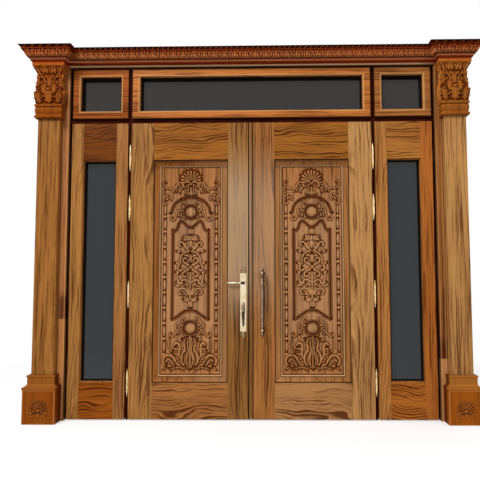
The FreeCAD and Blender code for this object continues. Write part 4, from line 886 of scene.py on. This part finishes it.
work = Carving(on_panel)
carve_panel(work)
print("faces of the panel's forms:", len(work.shape.faces))
carved_field(work)
low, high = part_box("right_main_panel")
block(work.shape, (low.x - PANEL_X, LEAF_FACE + TONGUE_DEPTH, low.z), (high.x - PANEL_X, high.y, high.z))
one_panel = bpy.data.meshes.new("one_panel")
work.shape.to_mesh(one_panel)
work.shape.free()
for side, sign in SIDES:
    node = f"{side}_main_panel"
    axis = sign * PANEL_X
    shape = bmesh.new()
    shape.from_mesh(one_panel)
    bmesh.ops.translate(shape, vec=(axis, 0.0, 0.0), verts=shape.verts)
    # A painted sheen pales the field at mid-height.
    board = wood("carved_" + node, "936036", (axis - sign * 0.35, 0.5, 0.5), figure=0.8, streaks=0.9,
                 hollow="521E02", highlight=0.30, crest="E2A868", paler_bands=[(0.3, 0.8, 1.4, 1.9, "DDB68C", 0.20)])
    finish_piece(shape, f"{side}_carved_panel", board, f"{side}_main_leaf", node)
bpy.data.meshes.remove(one_panel)

# %% [markdown]
# Each meeting stile carries a thin dark brush seal in its edge, so no light shows between
# the two leaves.  They stand at different depths and never touch.  Thousands of bristles
# would cost more than they show, so each seal is a strip with a bristle pattern.

# %% Brush seals between the main leaves
brush, tree, shader = new_material("brush_seal")
fine = add(tree, "Mapping", Vector=object_place(tree), Scale=(40.0, 40.0, 900.0)).outputs[0]
bristles = Value(add(tree, "TexNoise", Vector=fine, Scale=1.0, Detail=2.0).outputs["Fac"])
join(shader, Base_Color=blend(bristles.ramp(0.35, 0.65), colour("120E0C"), colour("2A221C")), Roughness=0.9)
SEAL_ROOT, SEAL_THICK, SEAL_SHORT = 0.001, 0.006, 0.002
for side, sign, reach, depth in (("left", -1, 0.0002, 0.046), ("right", 1, 0.0003, 0.008)):
    low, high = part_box(f"{side}_meeting_stile")
    shape = bmesh.new()
    edge = high.x if sign < 0 else low.x
    ends = sorted((edge + sign * SEAL_ROOT, sign * reach))
    front = LEAF_FACE + depth
    block(shape, (ends[0], front, low.z + SEAL_SHORT), (ends[1], front + SEAL_THICK, high.z - SEAL_SHORT))
    finish_piece(shape, f"{side}_brush_seal", brush, f"{side}_main_leaf")

# %% [markdown]
# The furniture is cast and turned brass.  The pull is lathe work: a bar between rings and
# balls, on two posts.  The long plate has a fleuron at each end; the lever tapers from its
# hub to a button, and the grip under it is a dark drop.  Stacked cylinders would leave hard
# joints, so each turned part is one profile spun round its line, as on a lathe.

# %% Turned and cast furniture
LATHE_STEPS = 24
TOWARDS_VIEWER, TO_THE_LEFT = (0, -1, 0), (-1, 0, 0)


def turned(shape, profile, foot, heading=(0, 0, 1)):
    """Lathe work: a profile of runs and radii in millimetres, spun round a line."""
    form = bmesh.new()
    line = [form.verts.new((radius * MM, 0.0, run * MM)) for run, radius in profile]
    edges = [form.edges.new(pair) for pair in zip(line, line[1:])]
    bmesh.ops.spin(form, geom=line + edges, cent=(0, 0, 0), axis=(0, 0, 1), angle=math.tau, steps=LATHE_STEPS)
    bmesh.ops.remove_doubles(form, verts=form.verts, dist=1e-6)
    stance = Vector((0, 0, 1)).rotation_difference(Vector(heading)).to_matrix().to_4x4()
    bmesh.ops.transform(form, matrix=Matrix.Translation(foot) @ stance, verts=form.verts)
    fold_in(form, shape)


def bead(run, radius, thick):
    """The places of one round bead on a lathe profile."""
    return [(run - 0.5 * thick, 0.6 * radius), (run - 0.3 * thick, 0.9 * radius), (run, radius),
            (run + 0.3 * thick, 0.9 * radius), (run + 0.5 * thick, 0.6 * radius)]


def paint_metal_shade(shape, line, along, rubbed_side, keen=0.80):
    """Paints shade on cast metal all round but for the side towards the lamp, left bright.

    line is a point on the middle line, which runs along one axis; keen is how far round
    from the lit side the painted shade starts, one being at once.
    """
    hollow = shape.verts.layers.float.new("hollow")
    for corner in shape.verts:
        away = corner.co - line
        setattr(away, along, 0.0)
        rubbed = away.normalized().dot(Vector(rubbed_side).normalized()) if away.length > 1e-6 else 0.0
        corner[hollow] = min(max((keen - rubbed) / 0.35, 0.0), 1.0)
    return hollow


# %% The pull
PULL_OUT, POST_RISE = 0.050, 72
low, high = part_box("pull")
axis = Vector(((low.x + high.x) / 2, LEAF_FACE - PULL_OUT, low.z))
tall = (high.z - low.z) / MM
half = [(0, 0), (4, 5), (10, 7)] + bead(24, 13, 16) + [(34, 7)] + bead(50, 20, 26) + [(66, 10)]
half += bead(72, 19, 8) + bead(81, 16, 7) + [(87, 11), (92, 11)] + bead(99, 17, 8) + [(106, 12.5), (140, 14)]
profile = half + [(tall / 2, 15)] + [(tall - run, radius) for run, radius in reversed(half)]
post = [(0, 0), (0, 15), (4, 14), (8, 8), (30, 6.5), (46, 9), (50, 0)]
shape = bmesh.new()
turned(shape, profile, axis)
for rise in (POST_RISE, tall - POST_RISE):
    turned(shape, post, Vector((axis.x, LEAF_FACE, low.z + rise * MM)), TOWARDS_VIEWER)
# Painted shade on the bar's sides, with its side towards the lamp left bright as a painted highlight.
paint_metal_shade(shape, axis, "z", (-0.70, -0.70, 0.0))
finish_piece(shape, "baluster_pull", old_bronze, "right_main_leaf", "pull")

# %% The long plate with its fleurons
FLEURON_TALL, PLATE_HALF, PLATE_THICK, FLEURON_ROOT = 0.058, 0.0225, 0.0028, 0.0015
low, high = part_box("handle_plate")
plate_x = (low.x + high.x) / 2
foot, top = low.z + FLEURON_TALL, high.z - FLEURON_TALL
shape = bmesh.new()
block(shape, (plate_x - PLATE_HALF, LEAF_FACE - PLATE_THICK, foot), (plate_x + PLATE_HALF, LEAF_FACE, top))
bmesh.ops.bevel(shape, geom=shape.edges[:], offset=0.001, segments=2, affect="EDGES", profile=0.7)
chasing = Carving(lambda u, z, rise: Vector((plate_x + u, LEAF_FACE - max(rise, -FLEURON_ROOT), z)))
for end, way in ((top / MM, 1), (foot / MM, -1)):
    chasing.stroke([(-24, end), (0, end + way), (24, end)], 4.5, 4.0)
    chasing.stroke([(0, end - way * 4), (0, end + way * 24), (0, end + way * 57)], 7, 4.0, CLEFT,
                   grade=(0.6, 1.7, 0.2))
    chasing.both([(3, end + way * 6), (15, end + way * 14), (21, end + way * 24), (16, end + way * 30),
                  (12, end + way * 25)], 3.6, 4.0, grade=(0.8, 1.3, 0.8))
    chasing.both([(2, end + way * 22), (10, end + way * 33), (7, end + way * 44)], 3.2, 3.8)
    chasing.both([(4, end - way * 4), (14, end - way * 12), (17, end - way * 26)], 2.4, 3.6)
    chasing.button(0, end - way * 16, 3.2, 3.6)
finish_piece(chasing.shape, "plate_fleurons", antique_brass, "left_main_leaf")
finish_piece(shape, "cast_plate", pale_brass, "left_main_leaf", "handle_plate")

# %% The lever, its neck and its spindle
# How far the hub stands out from the leaf, and the arm and its sleeve from the hub.
HUB_OUT, ARM_OUT, SLEEVE_OUT, SPINDLE_DEPTH = 0.0045, 0.020, 0.0195, 0.024
lever_level = round(middle("lever").z, 3)
hub = Vector((plate_x, LEAF_FACE - HUB_OUT, lever_level))
arm_start = hub + Vector((0, -ARM_OUT, 0))
sleeve_start = hub + Vector((0, -SLEEVE_OUT, 0))
# The neck is dark bronze, and its dark also stands in for the shade round the hub.
neck = bmesh.new()
turned(neck, [(0, 0), (0, 10.5), (2, 11), (5, 9), (14, 8), (21, 9.5), (25, 9), (26, 0)], hub, TOWARDS_VIEWER)
turned(neck, [(-12, 0), (-11, 6), (0, 9.5), (14, 9), (15, 0)], sleeve_start, TO_THE_LEFT)
finish_piece(neck, "lever_neck", dark_bronze, "lever")
arm = [(-7, 0), (-6, 4.5), (0, 6), (10, 6)] + bead(17, 8, 5) + [(21, 6.4), (60, 8.0), (98, 6.2)]
arm += bead(103, 7.6, 4) + bead(110, 8.5, 11) + [(117, 0)]
shape = bmesh.new()
turned(shape, arm, arm_start, TO_THE_LEFT)
spindle = Vector((plate_x, LEAF_FACE + SPINDLE_DEPTH, lever_level))
turned(shape, [(0, 0), (0, 5), (30, 5), (30, 0)], spindle, TOWARDS_VIEWER)
# Painted shade under the arm, with its front and top left bright as a painted highlight.
paint_metal_shade(shape, arm_start, "x", (0.0, -0.96, 0.28), 0.94)
finish_piece(shape, "turned_lever", pale_brass, "lever", "lever")

# %% The grip under the lever
GRIP_OUT, DARK_FOOT, DARK_TOP = 0.028, 0.010, 0.070
low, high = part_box("grip")
tall = (high.z - low.z) / MM
line = Vector((plate_x, LEAF_FACE - GRIP_OUT, low.z))
drop = [(0, 0), (2, 3), (6, 4.5), (12, 5), (30, 6), (80, 9), (tall - 72, 10.8), (tall - 66, 11),
        (tall - 45, 11.5), (tall - 22, 11), (tall - 10, 8), (tall, 0)]
post = [(0, 0), (0, 9), (4, 7), (8, 5), (26, 5), (26, 0)]
shape = bmesh.new()
turned(shape, drop, line)
for rise in (20, tall - 24):
    turned(shape, post, Vector((plate_x, LEAF_FACE - 0.001, low.z + rise * MM)), TOWARDS_VIEWER)
# Painted shade on the grip, with its front left bright as a painted highlight.
hollow = paint_metal_shade(shape, line, "z", (-0.3, -0.95, 0.0))
# The long taper is dark all round.
for corner in shape.verts:
    if low.z + DARK_FOOT < corner.co.z < high.z - DARK_TOP:
        corner[hollow] = 1.0
finish_piece(shape, "teardrop_grip", old_bronze, "left_main_leaf", "grip")

# %% [markdown]
# Capitals, plinths and the cornice are built up like the joiner builds them: a stack of
# sawn and moulded levels against the wall, each with its own reach, and carving on top.
# A moulding swept round three sides would need its corners mitred.  Here the first face of
# a stack is its foot, and every level is that face drawn up and set out, corners and all.

# %% Stacks of levels, and forms laid on their faces
def stack(shape, axis, half, front, back, levels, sideways=1.0):
    """A block against the wall.  Each level is a height and a reach, in millimetres.

    sideways is the share of each reach that also goes out to the sides.
    """
    foot = bmesh.ops.create_grid(shape, x_segments=1, y_segments=1, size=1.0)["verts"]
    face, made = foot[0].link_faces[0], []
    for number, (height, reach) in enumerate(levels):
        if number:
            # Its edges are named too, or the face would be copied and one left inside.
            grown = bmesh.ops.extrude_face_region(shape, geom=[face, *face.edges])["geom"]
            face = next(item for item in grown if isinstance(item, bmesh.types.BMFace))
        centre = face.calc_center_median()
        for corner in face.verts:
            x = axis + math.copysign(half + sideways * reach * MM, corner.co.x - centre.x)
            y = back if corner.co.y > centre.y else front - reach * MM
            corner.co = (x, y, height * MM)
        made += face.verts
    return made


def reach_at(levels, height):
    """The reach of a stack at a height."""
    for (low, out), (high, further) in zip(levels, levels[1:]):
        if low <= height <= high and high > low:
            return (out + (further - out) * (height - low) / (high - low)) * MM
    return levels[0 if height < levels[0][0] else -1][1] * MM


def facing(axis, half, front, back, levels, side):
    """How forms lie on a stack's front (side 0) or on its return (side -1 or 1)."""
    def lay(u, z, h):
        out = reach_at(levels, z / MM)
        if side == 0:
            return Vector((axis + u * (half + out) / half, front - out - h, z))
        depth = back - front + out
        return Vector((axis + side * (half + out + h), back - depth * (0.5 + 0.5 * u / half), z))
    return lay


def darken(work, verts, low, high, value):
    """Paints shade on the ground between two heights."""
    for corner in verts:
        if low * MM < corner.co.z < high * MM:
            corner[work.hollow] = value


# %% [markdown]
# A capital has a collar, a leafy bell, a throat and an abacus.  Three acanthus leaves with
# curled tips stand round the bell, scrolls rise from behind them to the corners, and small
# leaves carry the slab.  The returns to the wall repeat the design, squeezed.

# %% Capitals
CAPITAL_LEVELS = [(2210, 18), (2214, 22), (2228, 22), (2233, 15), (2242, 14), (2252, 18), (2272, 20),
                  (2290, 16), (2294, 13), (2298, 22), (2314, 22), (2314, 7), (2330, 9), (2360, 14),
                  (2400, 19), (2435, 16), (2461, 8), (2500, 3), (2535, 4), (2562, 10), (2584, 21),
                  (2600, 34), (2601, 38), (2618, 38)]


def capital_leaf(work, u, foot, top, wide, high, lean=0.0):
    """An acanthus leaf: a blade under a rib, lobes that part like fingers, and a curled tip."""
    rise = top - foot
    spine = [(u, foot), (u + lean / 2, foot + 0.5 * rise), (u + lean, top)]
    work.stroke(spine, wide * 0.50, high * 0.8, grade=(0.9, 1.5, 0.6))
    work.stroke(spine, 3.0, high * 1.25)
    for share, reach, drop in ((0.10, 0.80, 0.05), (0.36, 1.00, 0.10), (0.60, 0.82, 0.08)):
        z = foot + share * rise
        for hand in (-1, 1):
            def off(out, up):
                return u + lean * share + hand * wide * reach * out, z + up * rise
            work.stroke([off(0.2, 0), off(0.62, 0.13), off(0.98, 0.16), off(1.08, 0.16 - drop)],
                        wide * 0.20, high * 1.1, grade=(0.8, 1.3, 1.1))
            work.stroke([off(0.15, 0.10), off(0.45, 0.24), off(0.74, 0.33), off(0.86, 0.30)],
                        wide * 0.17, high, grade=(0.8, 1.2, 1.0))
    work.button(u + lean, top, wide * 0.34, high * 1.6, 10)
    # A middle leaf curls over on both sides, and a side leaf on its outer side.
    hands = (-1, 1) if u == 0 else (math.copysign(1, u),)
    for hand in hands:
        curl = [(u + lean + hand * wide * 0.22, top - 2), (u + lean + hand * wide * 0.42, top - 10)]
        work.stroke(curl, wide * 0.16, high * 1.3)


def capital_design(work):
    capital_leaf(work, 0, 2318, 2424, 33, 13)
    for hand in (-1, 1):
        capital_leaf(work, hand * 62, 2318, 2408, 24, 12, hand * 5)
        capital_leaf(work, hand * 33, 2392, 2478, 20, 10, -hand * 3)
        capital_leaf(work, hand * 76, 2440, 2522, 15, 10, hand * 2)
    capital_leaf(work, 0, 2446, 2528, 20, 9)
    work.both([(20, 2470), (34, 2500), (50, 2522)] + scroll(63, 2530, 17, 150, -420)[1:], 6.5, 15)
    work.both([(6, 2478), (10, 2506)] + scroll(23, 2524, 12, 160, -400)[1:], 5.5, 13)
    work.both([(44, 2500), (52, 2480), (60, 2470)], 7, 10)
    for u, lean in ((-66, -5), (-40, 4), (-14, -3), (14, 3), (40, -4), (66, 5)):
        work.stroke([(u, 2544), (u + lean, 2570), (u + 1.5 * lean, 2592)], 12, 10, grade=(0.5, 1.2, 1.0))
        work.button(u + 1.5 * lean, 2588, 8, 13, 8)
    for u in (-53, -27, 0, 27, 53):
        work.stroke([(u, 2556), (u + 3, 2574), (u, 2590)], 6, 9, grade=(0.6, 1.0, 1.2))


for side, sign, tone in (("left", -1, "8F4A14"), ("right", 1, "9A5A20")):
    node = f"{side}_capital"
    axis = sign * PILASTER_X
    work = Carving(None)
    ground = stack(work.shape, axis, SHAFT_HALF, SHAFT_FRONT, WALL_FACE, CAPITAL_LEVELS)
    # Painted shade on the ground of the bell among the leaves.
    darken(work, ground, 2315, 2590, 0.9)
    for face in (0, -sign, sign):
        work.lay = facing(axis, SHAFT_HALF, SHAFT_FRONT, WALL_FACE, CAPITAL_LEVELS, face)
        capital_design(work)
    # Painted shade darkens the collar under the leaves.
    board = wood("carved_" + node, tone, (axis + 0.12, 0.2, 1.0), figure=0.4, streaks=0.35,
                 hollow="561F06", highlight=0.45, crest="CC8040", darker_bands=[(-1, 0, 2.306, 2.318, "240A04", 0.22)])
    finish_piece(work.shape, f"{side}_carved_capital", board, "frame", node)

# %% [markdown]
# The plinth is a plain block with a cap, a hollowed base block on it, and a shell carved on
# its front: rays round a low centre, with a curl on either side at the foot.

# %% Plinths with their shells
PLINTH_LEVELS = [(0, 34.5), (2, 36.5), (238, 36.5), (240, 38.0), (242, 40), (254, 40), (257, 38)]
BASE_LEVELS = [(257, 30), (259, 31.5), (263, 27), (268, 22), (277, 17.5), (321, 17.5), (324, 22), (334, 22),
               (337, 20)]
PLINTH_FRONT, BASE_FRONT = SHAFT_FRONT - 0.0205, SHAFT_FRONT - 0.0065
PLINTH_FACE = [(0, 36.6), (240, 36.6)]


def plinth_shell(work):
    work.stroke([(0, 50), (0, 110), (0, 186)], 46, 2, SUNK, grade=(0.7, 1.2, 0.8))
    for step in range(-5, 6):
        work.stroke(ray((0, 98), 90 + 17 * step, (18, 46, 80), 0.62), 4.4, 8, grade=(0.5, 0.8, 1.1), fine=1.5)
    work.button(0, 98, 10, 9, 12)
    work.both([(7, 86), (19, 90), (31, 80), (33, 64), (25, 56), (19, 66)], 5.0, 8)
    work.both([(33, 90), (42, 80), (44, 64)], 4.5, 5, CLEFT)
    work.stroke([(0, 86), (0, 48)], 6, 6, CLEFT)


for side, sign, tone, pale in (("left", -1, "773C0E", 0.3), ("right", 1, "834410", 0.5)):
    node = f"{side}_pedestal"
    axis = sign * PILASTER_X
    work = Carving(facing(axis, SHAFT_HALF, PLINTH_FRONT, WALL_FACE, PLINTH_FACE, 0))
    stack(work.shape, axis, SHAFT_HALF, PLINTH_FRONT, WALL_FACE, PLINTH_LEVELS)
    stack(work.shape, axis, SHAFT_HALF, BASE_FRONT, WALL_FACE, BASE_LEVELS)
    plinth_shell(work)
    # A painted highlight line along the front edges, and painted shadow on the returns.
    board = wood("carved_" + node, tone, (axis + 0.1, 0.2, 1.0), figure=0.35, streaks=0.4,
                 hollow="34140A", highlight=0.55, crest="C88448",
                 shadow=(SHAFT_FRONT - 0.022, SHAFT_FRONT - 0.010, "4A1208", 0.75),
                 paler_bands=[(0.243, 0.250, 3, 4, "B07838", pale)],
                 lines=((axis, 0.12, 0.117, 0.12), [(1, 6, "D89A58", 0.45)]))
    finish_piece(work.shape, f"{side}_carved_pedestal", board, "frame", node)

# %% [markdown]
# The cornice has a plain neck, a fillet and a cove, then a carved band, a hollow, a shelf
# and a crown of leaf tips.  It breaks forward over each pilaster.

# %% Cornice
CORNICE_LEVELS = [(2632, 8), (2634, 10), (2643, 10), (2645, 10), (2648, 17), (2652, 23), (2655, 26),
                  (2655, 23), (2690, 40), (2705, 55), (2705, 60), (2712, 60), (2714, 57), (2726, 71),
                  (2727, 75), (2730, 78)]
BLOCK_LEVELS = [(2618, 0), (2632, 0)] + CORNICE_LEVELS
# The middle length stops a hair short of its neighbours, at the top and at the wall.
MIDDLE_LEVELS, HAIR = CORNICE_LEVELS[:-1] + [(2729.4, 77)], 0.0006
BAND_GROUND = [(2655, 23), (2690, 40), (2705, 55)]
CROWN_GROUND = [(2714, 56), (2730, 72)]
BLOCK_HALF = SHAFT_HALF + 0.038
BLOCK_FRONT, MIDDLE_FRONT = SHAFT_FRONT - 0.038, SHAFT_FRONT + 0.027
# Shadow and light lines of the neck's members, measured up from the cornice's foot.
CORNICE_LINES = ((0.0, 3.632, 9.0, 1.0), [(0, 10, "3A1408", 0.55), (12, 17, "F0B080", 0.7),
                                          (18, 24, "2A0A04", 0.6), (26, 50, "E0A060", 0.22)])


def cornice_design(work, lay_band, lay_crown, half):
    """Leaves and darts along the band, and a rope of leaf tips along the crown."""
    count = max(2, round(2 * half / 74))
    pitch = 2 * half / count
    for number in range(count):
        u = -half + pitch * (number + 0.5)
        work.lay = lay_band
        work.stroke([(u, 2703), (u, 2680), (u, 2659)], 10, 10, CLEFT, grade=(1.2, 1.2, 0.5))
        for hand in (-1, 1):
            curl = [(7, 2702), (19, 2692), (19, 2674), (12, 2662)]
            work.stroke([(u + hand * out, z) for out, z in curl], 6, 9)
            dart = [(26, 2702), (33, 2688), (28, 2666)]
            work.stroke([(u + hand * out, z) for out, z in dart], 5, 8)
            work.button(u + hand * 22, 2662, 5, 8, 8)
        work.stroke([(u + pitch / 2, 2703), (u + pitch / 2, 2658)], 5, 9)
        work.lay = lay_crown
        for slide in (-0.25, 0.25):
            tip = u + slide * pitch
            work.stroke([(tip - 14, 2716), (tip, 2721), (tip + 12, 2727)], 5.5, 6, grade=(0.8, 1.2, 0.7))


def cornice_piece(node, part, axis, half, front, levels, sides, highlight, sideways=1.0, back=WALL_FACE):
    """One length of the cornice, carved on the given faces."""
    work = Carving(None)
    ground = stack(work.shape, axis, half, front, back, levels, sideways)
    # Painted shade on the ground of the band and of the crown.
    darken(work, ground, 2654, 2706, 0.8)
    darken(work, ground, 2713, 2731, 0.9)
    for side in sides:
        lay_band = facing(axis, half, front, WALL_FACE, BAND_GROUND, side)
        lay_crown = facing(axis, half, front, WALL_FACE, CROWN_GROUND, side)
        cornice_design(work, lay_band, lay_crown, half / MM)
    name = "carved_cornice_" + part
    # Painted shade darkens the crown towards its top edge.
    board = wood("carved_" + name, "973913", (2.5, 0.15, 1.0), True, figure=0.4, streaks=0.4,
                 hollow="4A1806", highlight=highlight, crest="E89A5C", lines=CORNICE_LINES,
                 darker_bands=[(2.700, 2.722, 3, 4, "240A04", 0.6)])
    finish_piece(work.shape, name, board, "frame", node)


cornice_piece("cornice_centre", "centre", 0.0, PILASTER_X - BLOCK_HALF, MIDDLE_FRONT, MIDDLE_LEVELS, (0,),
              0.65, 0.0, WALL_FACE - HAIR)
for side, sign in SIDES:
    cornice_piece(f"cornice_{side}_block", f"{side}_block", sign * PILASTER_X, BLOCK_HALF, BLOCK_FRONT,
                  BLOCK_LEVELS, (0, -sign, sign), 0.35)

# %% [markdown]
# A white floor and a white surround.  More light would make them white too, but the wood
# would burn out.  So the floor is a plain pale surface near the door, where it keeps the
# door's shadow, and glows to plain white further out.  Two soft lamps
# stand high on the left and low on the right, out of the mirror angle of the panes.

# %% Floor, light and camera
FLOOR_HALF, FLOOR_TONE = 40.0, 0.60
NEAR_FLOOR, FAR_FLOOR = 1.8, 4.5
NEAR_GLOW, ROOM_LIGHT = 0.45, 0.55


def seen_directly(tree):
    """One where the surface is looked at, straight, in a gloss or through glass."""
    path = add(tree, "LightPath").outputs
    seen = Value(path["Is Camera Ray"]).step("MAXIMUM", path["Is Glossy Ray"])
    return seen.step("MAXIMUM", path["Is Transmission Ray"])


def lay_floor():
    shape = bmesh.new()
    bmesh.ops.create_grid(shape, x_segments=1, y_segments=1, size=FLOOR_HALF)
    mesh = bpy.data.meshes.new("floor")
    shape.to_mesh(mesh)
    shape.free()
    floor = bpy.data.objects.new("floor", mesh)
    bpy.context.collection.objects.link(floor)
    material, tree, shader = new_material("pale_floor")
    far = Value(vector_step("LENGTH", object_place(tree))["Value"]).ramp(NEAR_FLOOR, FAR_FLOOR)
    glow = seen_directly(tree) * (far * (1.0 - NEAR_GLOW) + NEAR_GLOW)
    join(shader, Base_Color=FLOOR_TONE - far * FLOOR_TONE, Emission_Color=(1.0, 1.0, 1.0, 1.0),
         Emission_Strength=glow, Specular_IOR_Level=0.0, Roughness=0.9)
    mesh.materials.append(material)
    floor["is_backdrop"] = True


def light_room():
    """A white surround that lights the piece softly and is white where it is seen."""
    world = bpy.data.worlds.new("studio")
    bpy.context.scene.world = world
    world.use_nodes = True
    tree = world.node_tree
    join(tree.nodes["Background"], Color=(1.0, 1.0, 1.0, 1.0),
         Strength=seen_directly(tree) * (1.0 - ROOM_LIGHT) + ROOM_LIGHT)


def softbox(name, place, target, width, height, power):
    light = bpy.data.lights.new(name, "AREA")
    light.shape = "RECTANGLE"
    light.size, light.size_y, light.energy = width, height, power
    lamp = bpy.data.objects.new(name, light)
    lamp.location = place
    lamp.rotation_euler = (Vector(target) - Vector(place)).to_track_quat("-Z", "Y").to_euler()
    bpy.context.collection.objects.link(lamp)


lay_floor()
light_room()
softbox("key", (-2.6, -4.4, 6.6), (0.0, 0.0, 1.2), 3.0, 2.4, 420.0)
softbox("fill", (5.2, -4.2, 2.4), (0.0, 0.0, 1.3), 2.0, 2.0, 60.0)

camera_data = bpy.data.cameras.new("camera")
camera_data.lens = 38.6
camera_data.shift_x = -0.0504
camera_data.shift_y = 0.0148
camera = bpy.data.objects.new("camera", camera_data)
camera.location = (0.162, -3.756, 0.998)
camera.rotation_euler = (math.radians(93.86), math.radians(0.15), math.radians(1.0))
bpy.context.collection.objects.link(camera)
bpy.context.scene.camera = camera
bpy.context.scene.view_settings.view_transform = "Standard"
print("camera at", [round(part, 3) for part in camera.location], "with a lens of", camera_data.lens, "mm")

# %% The bounds of the shown pieces
low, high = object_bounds()
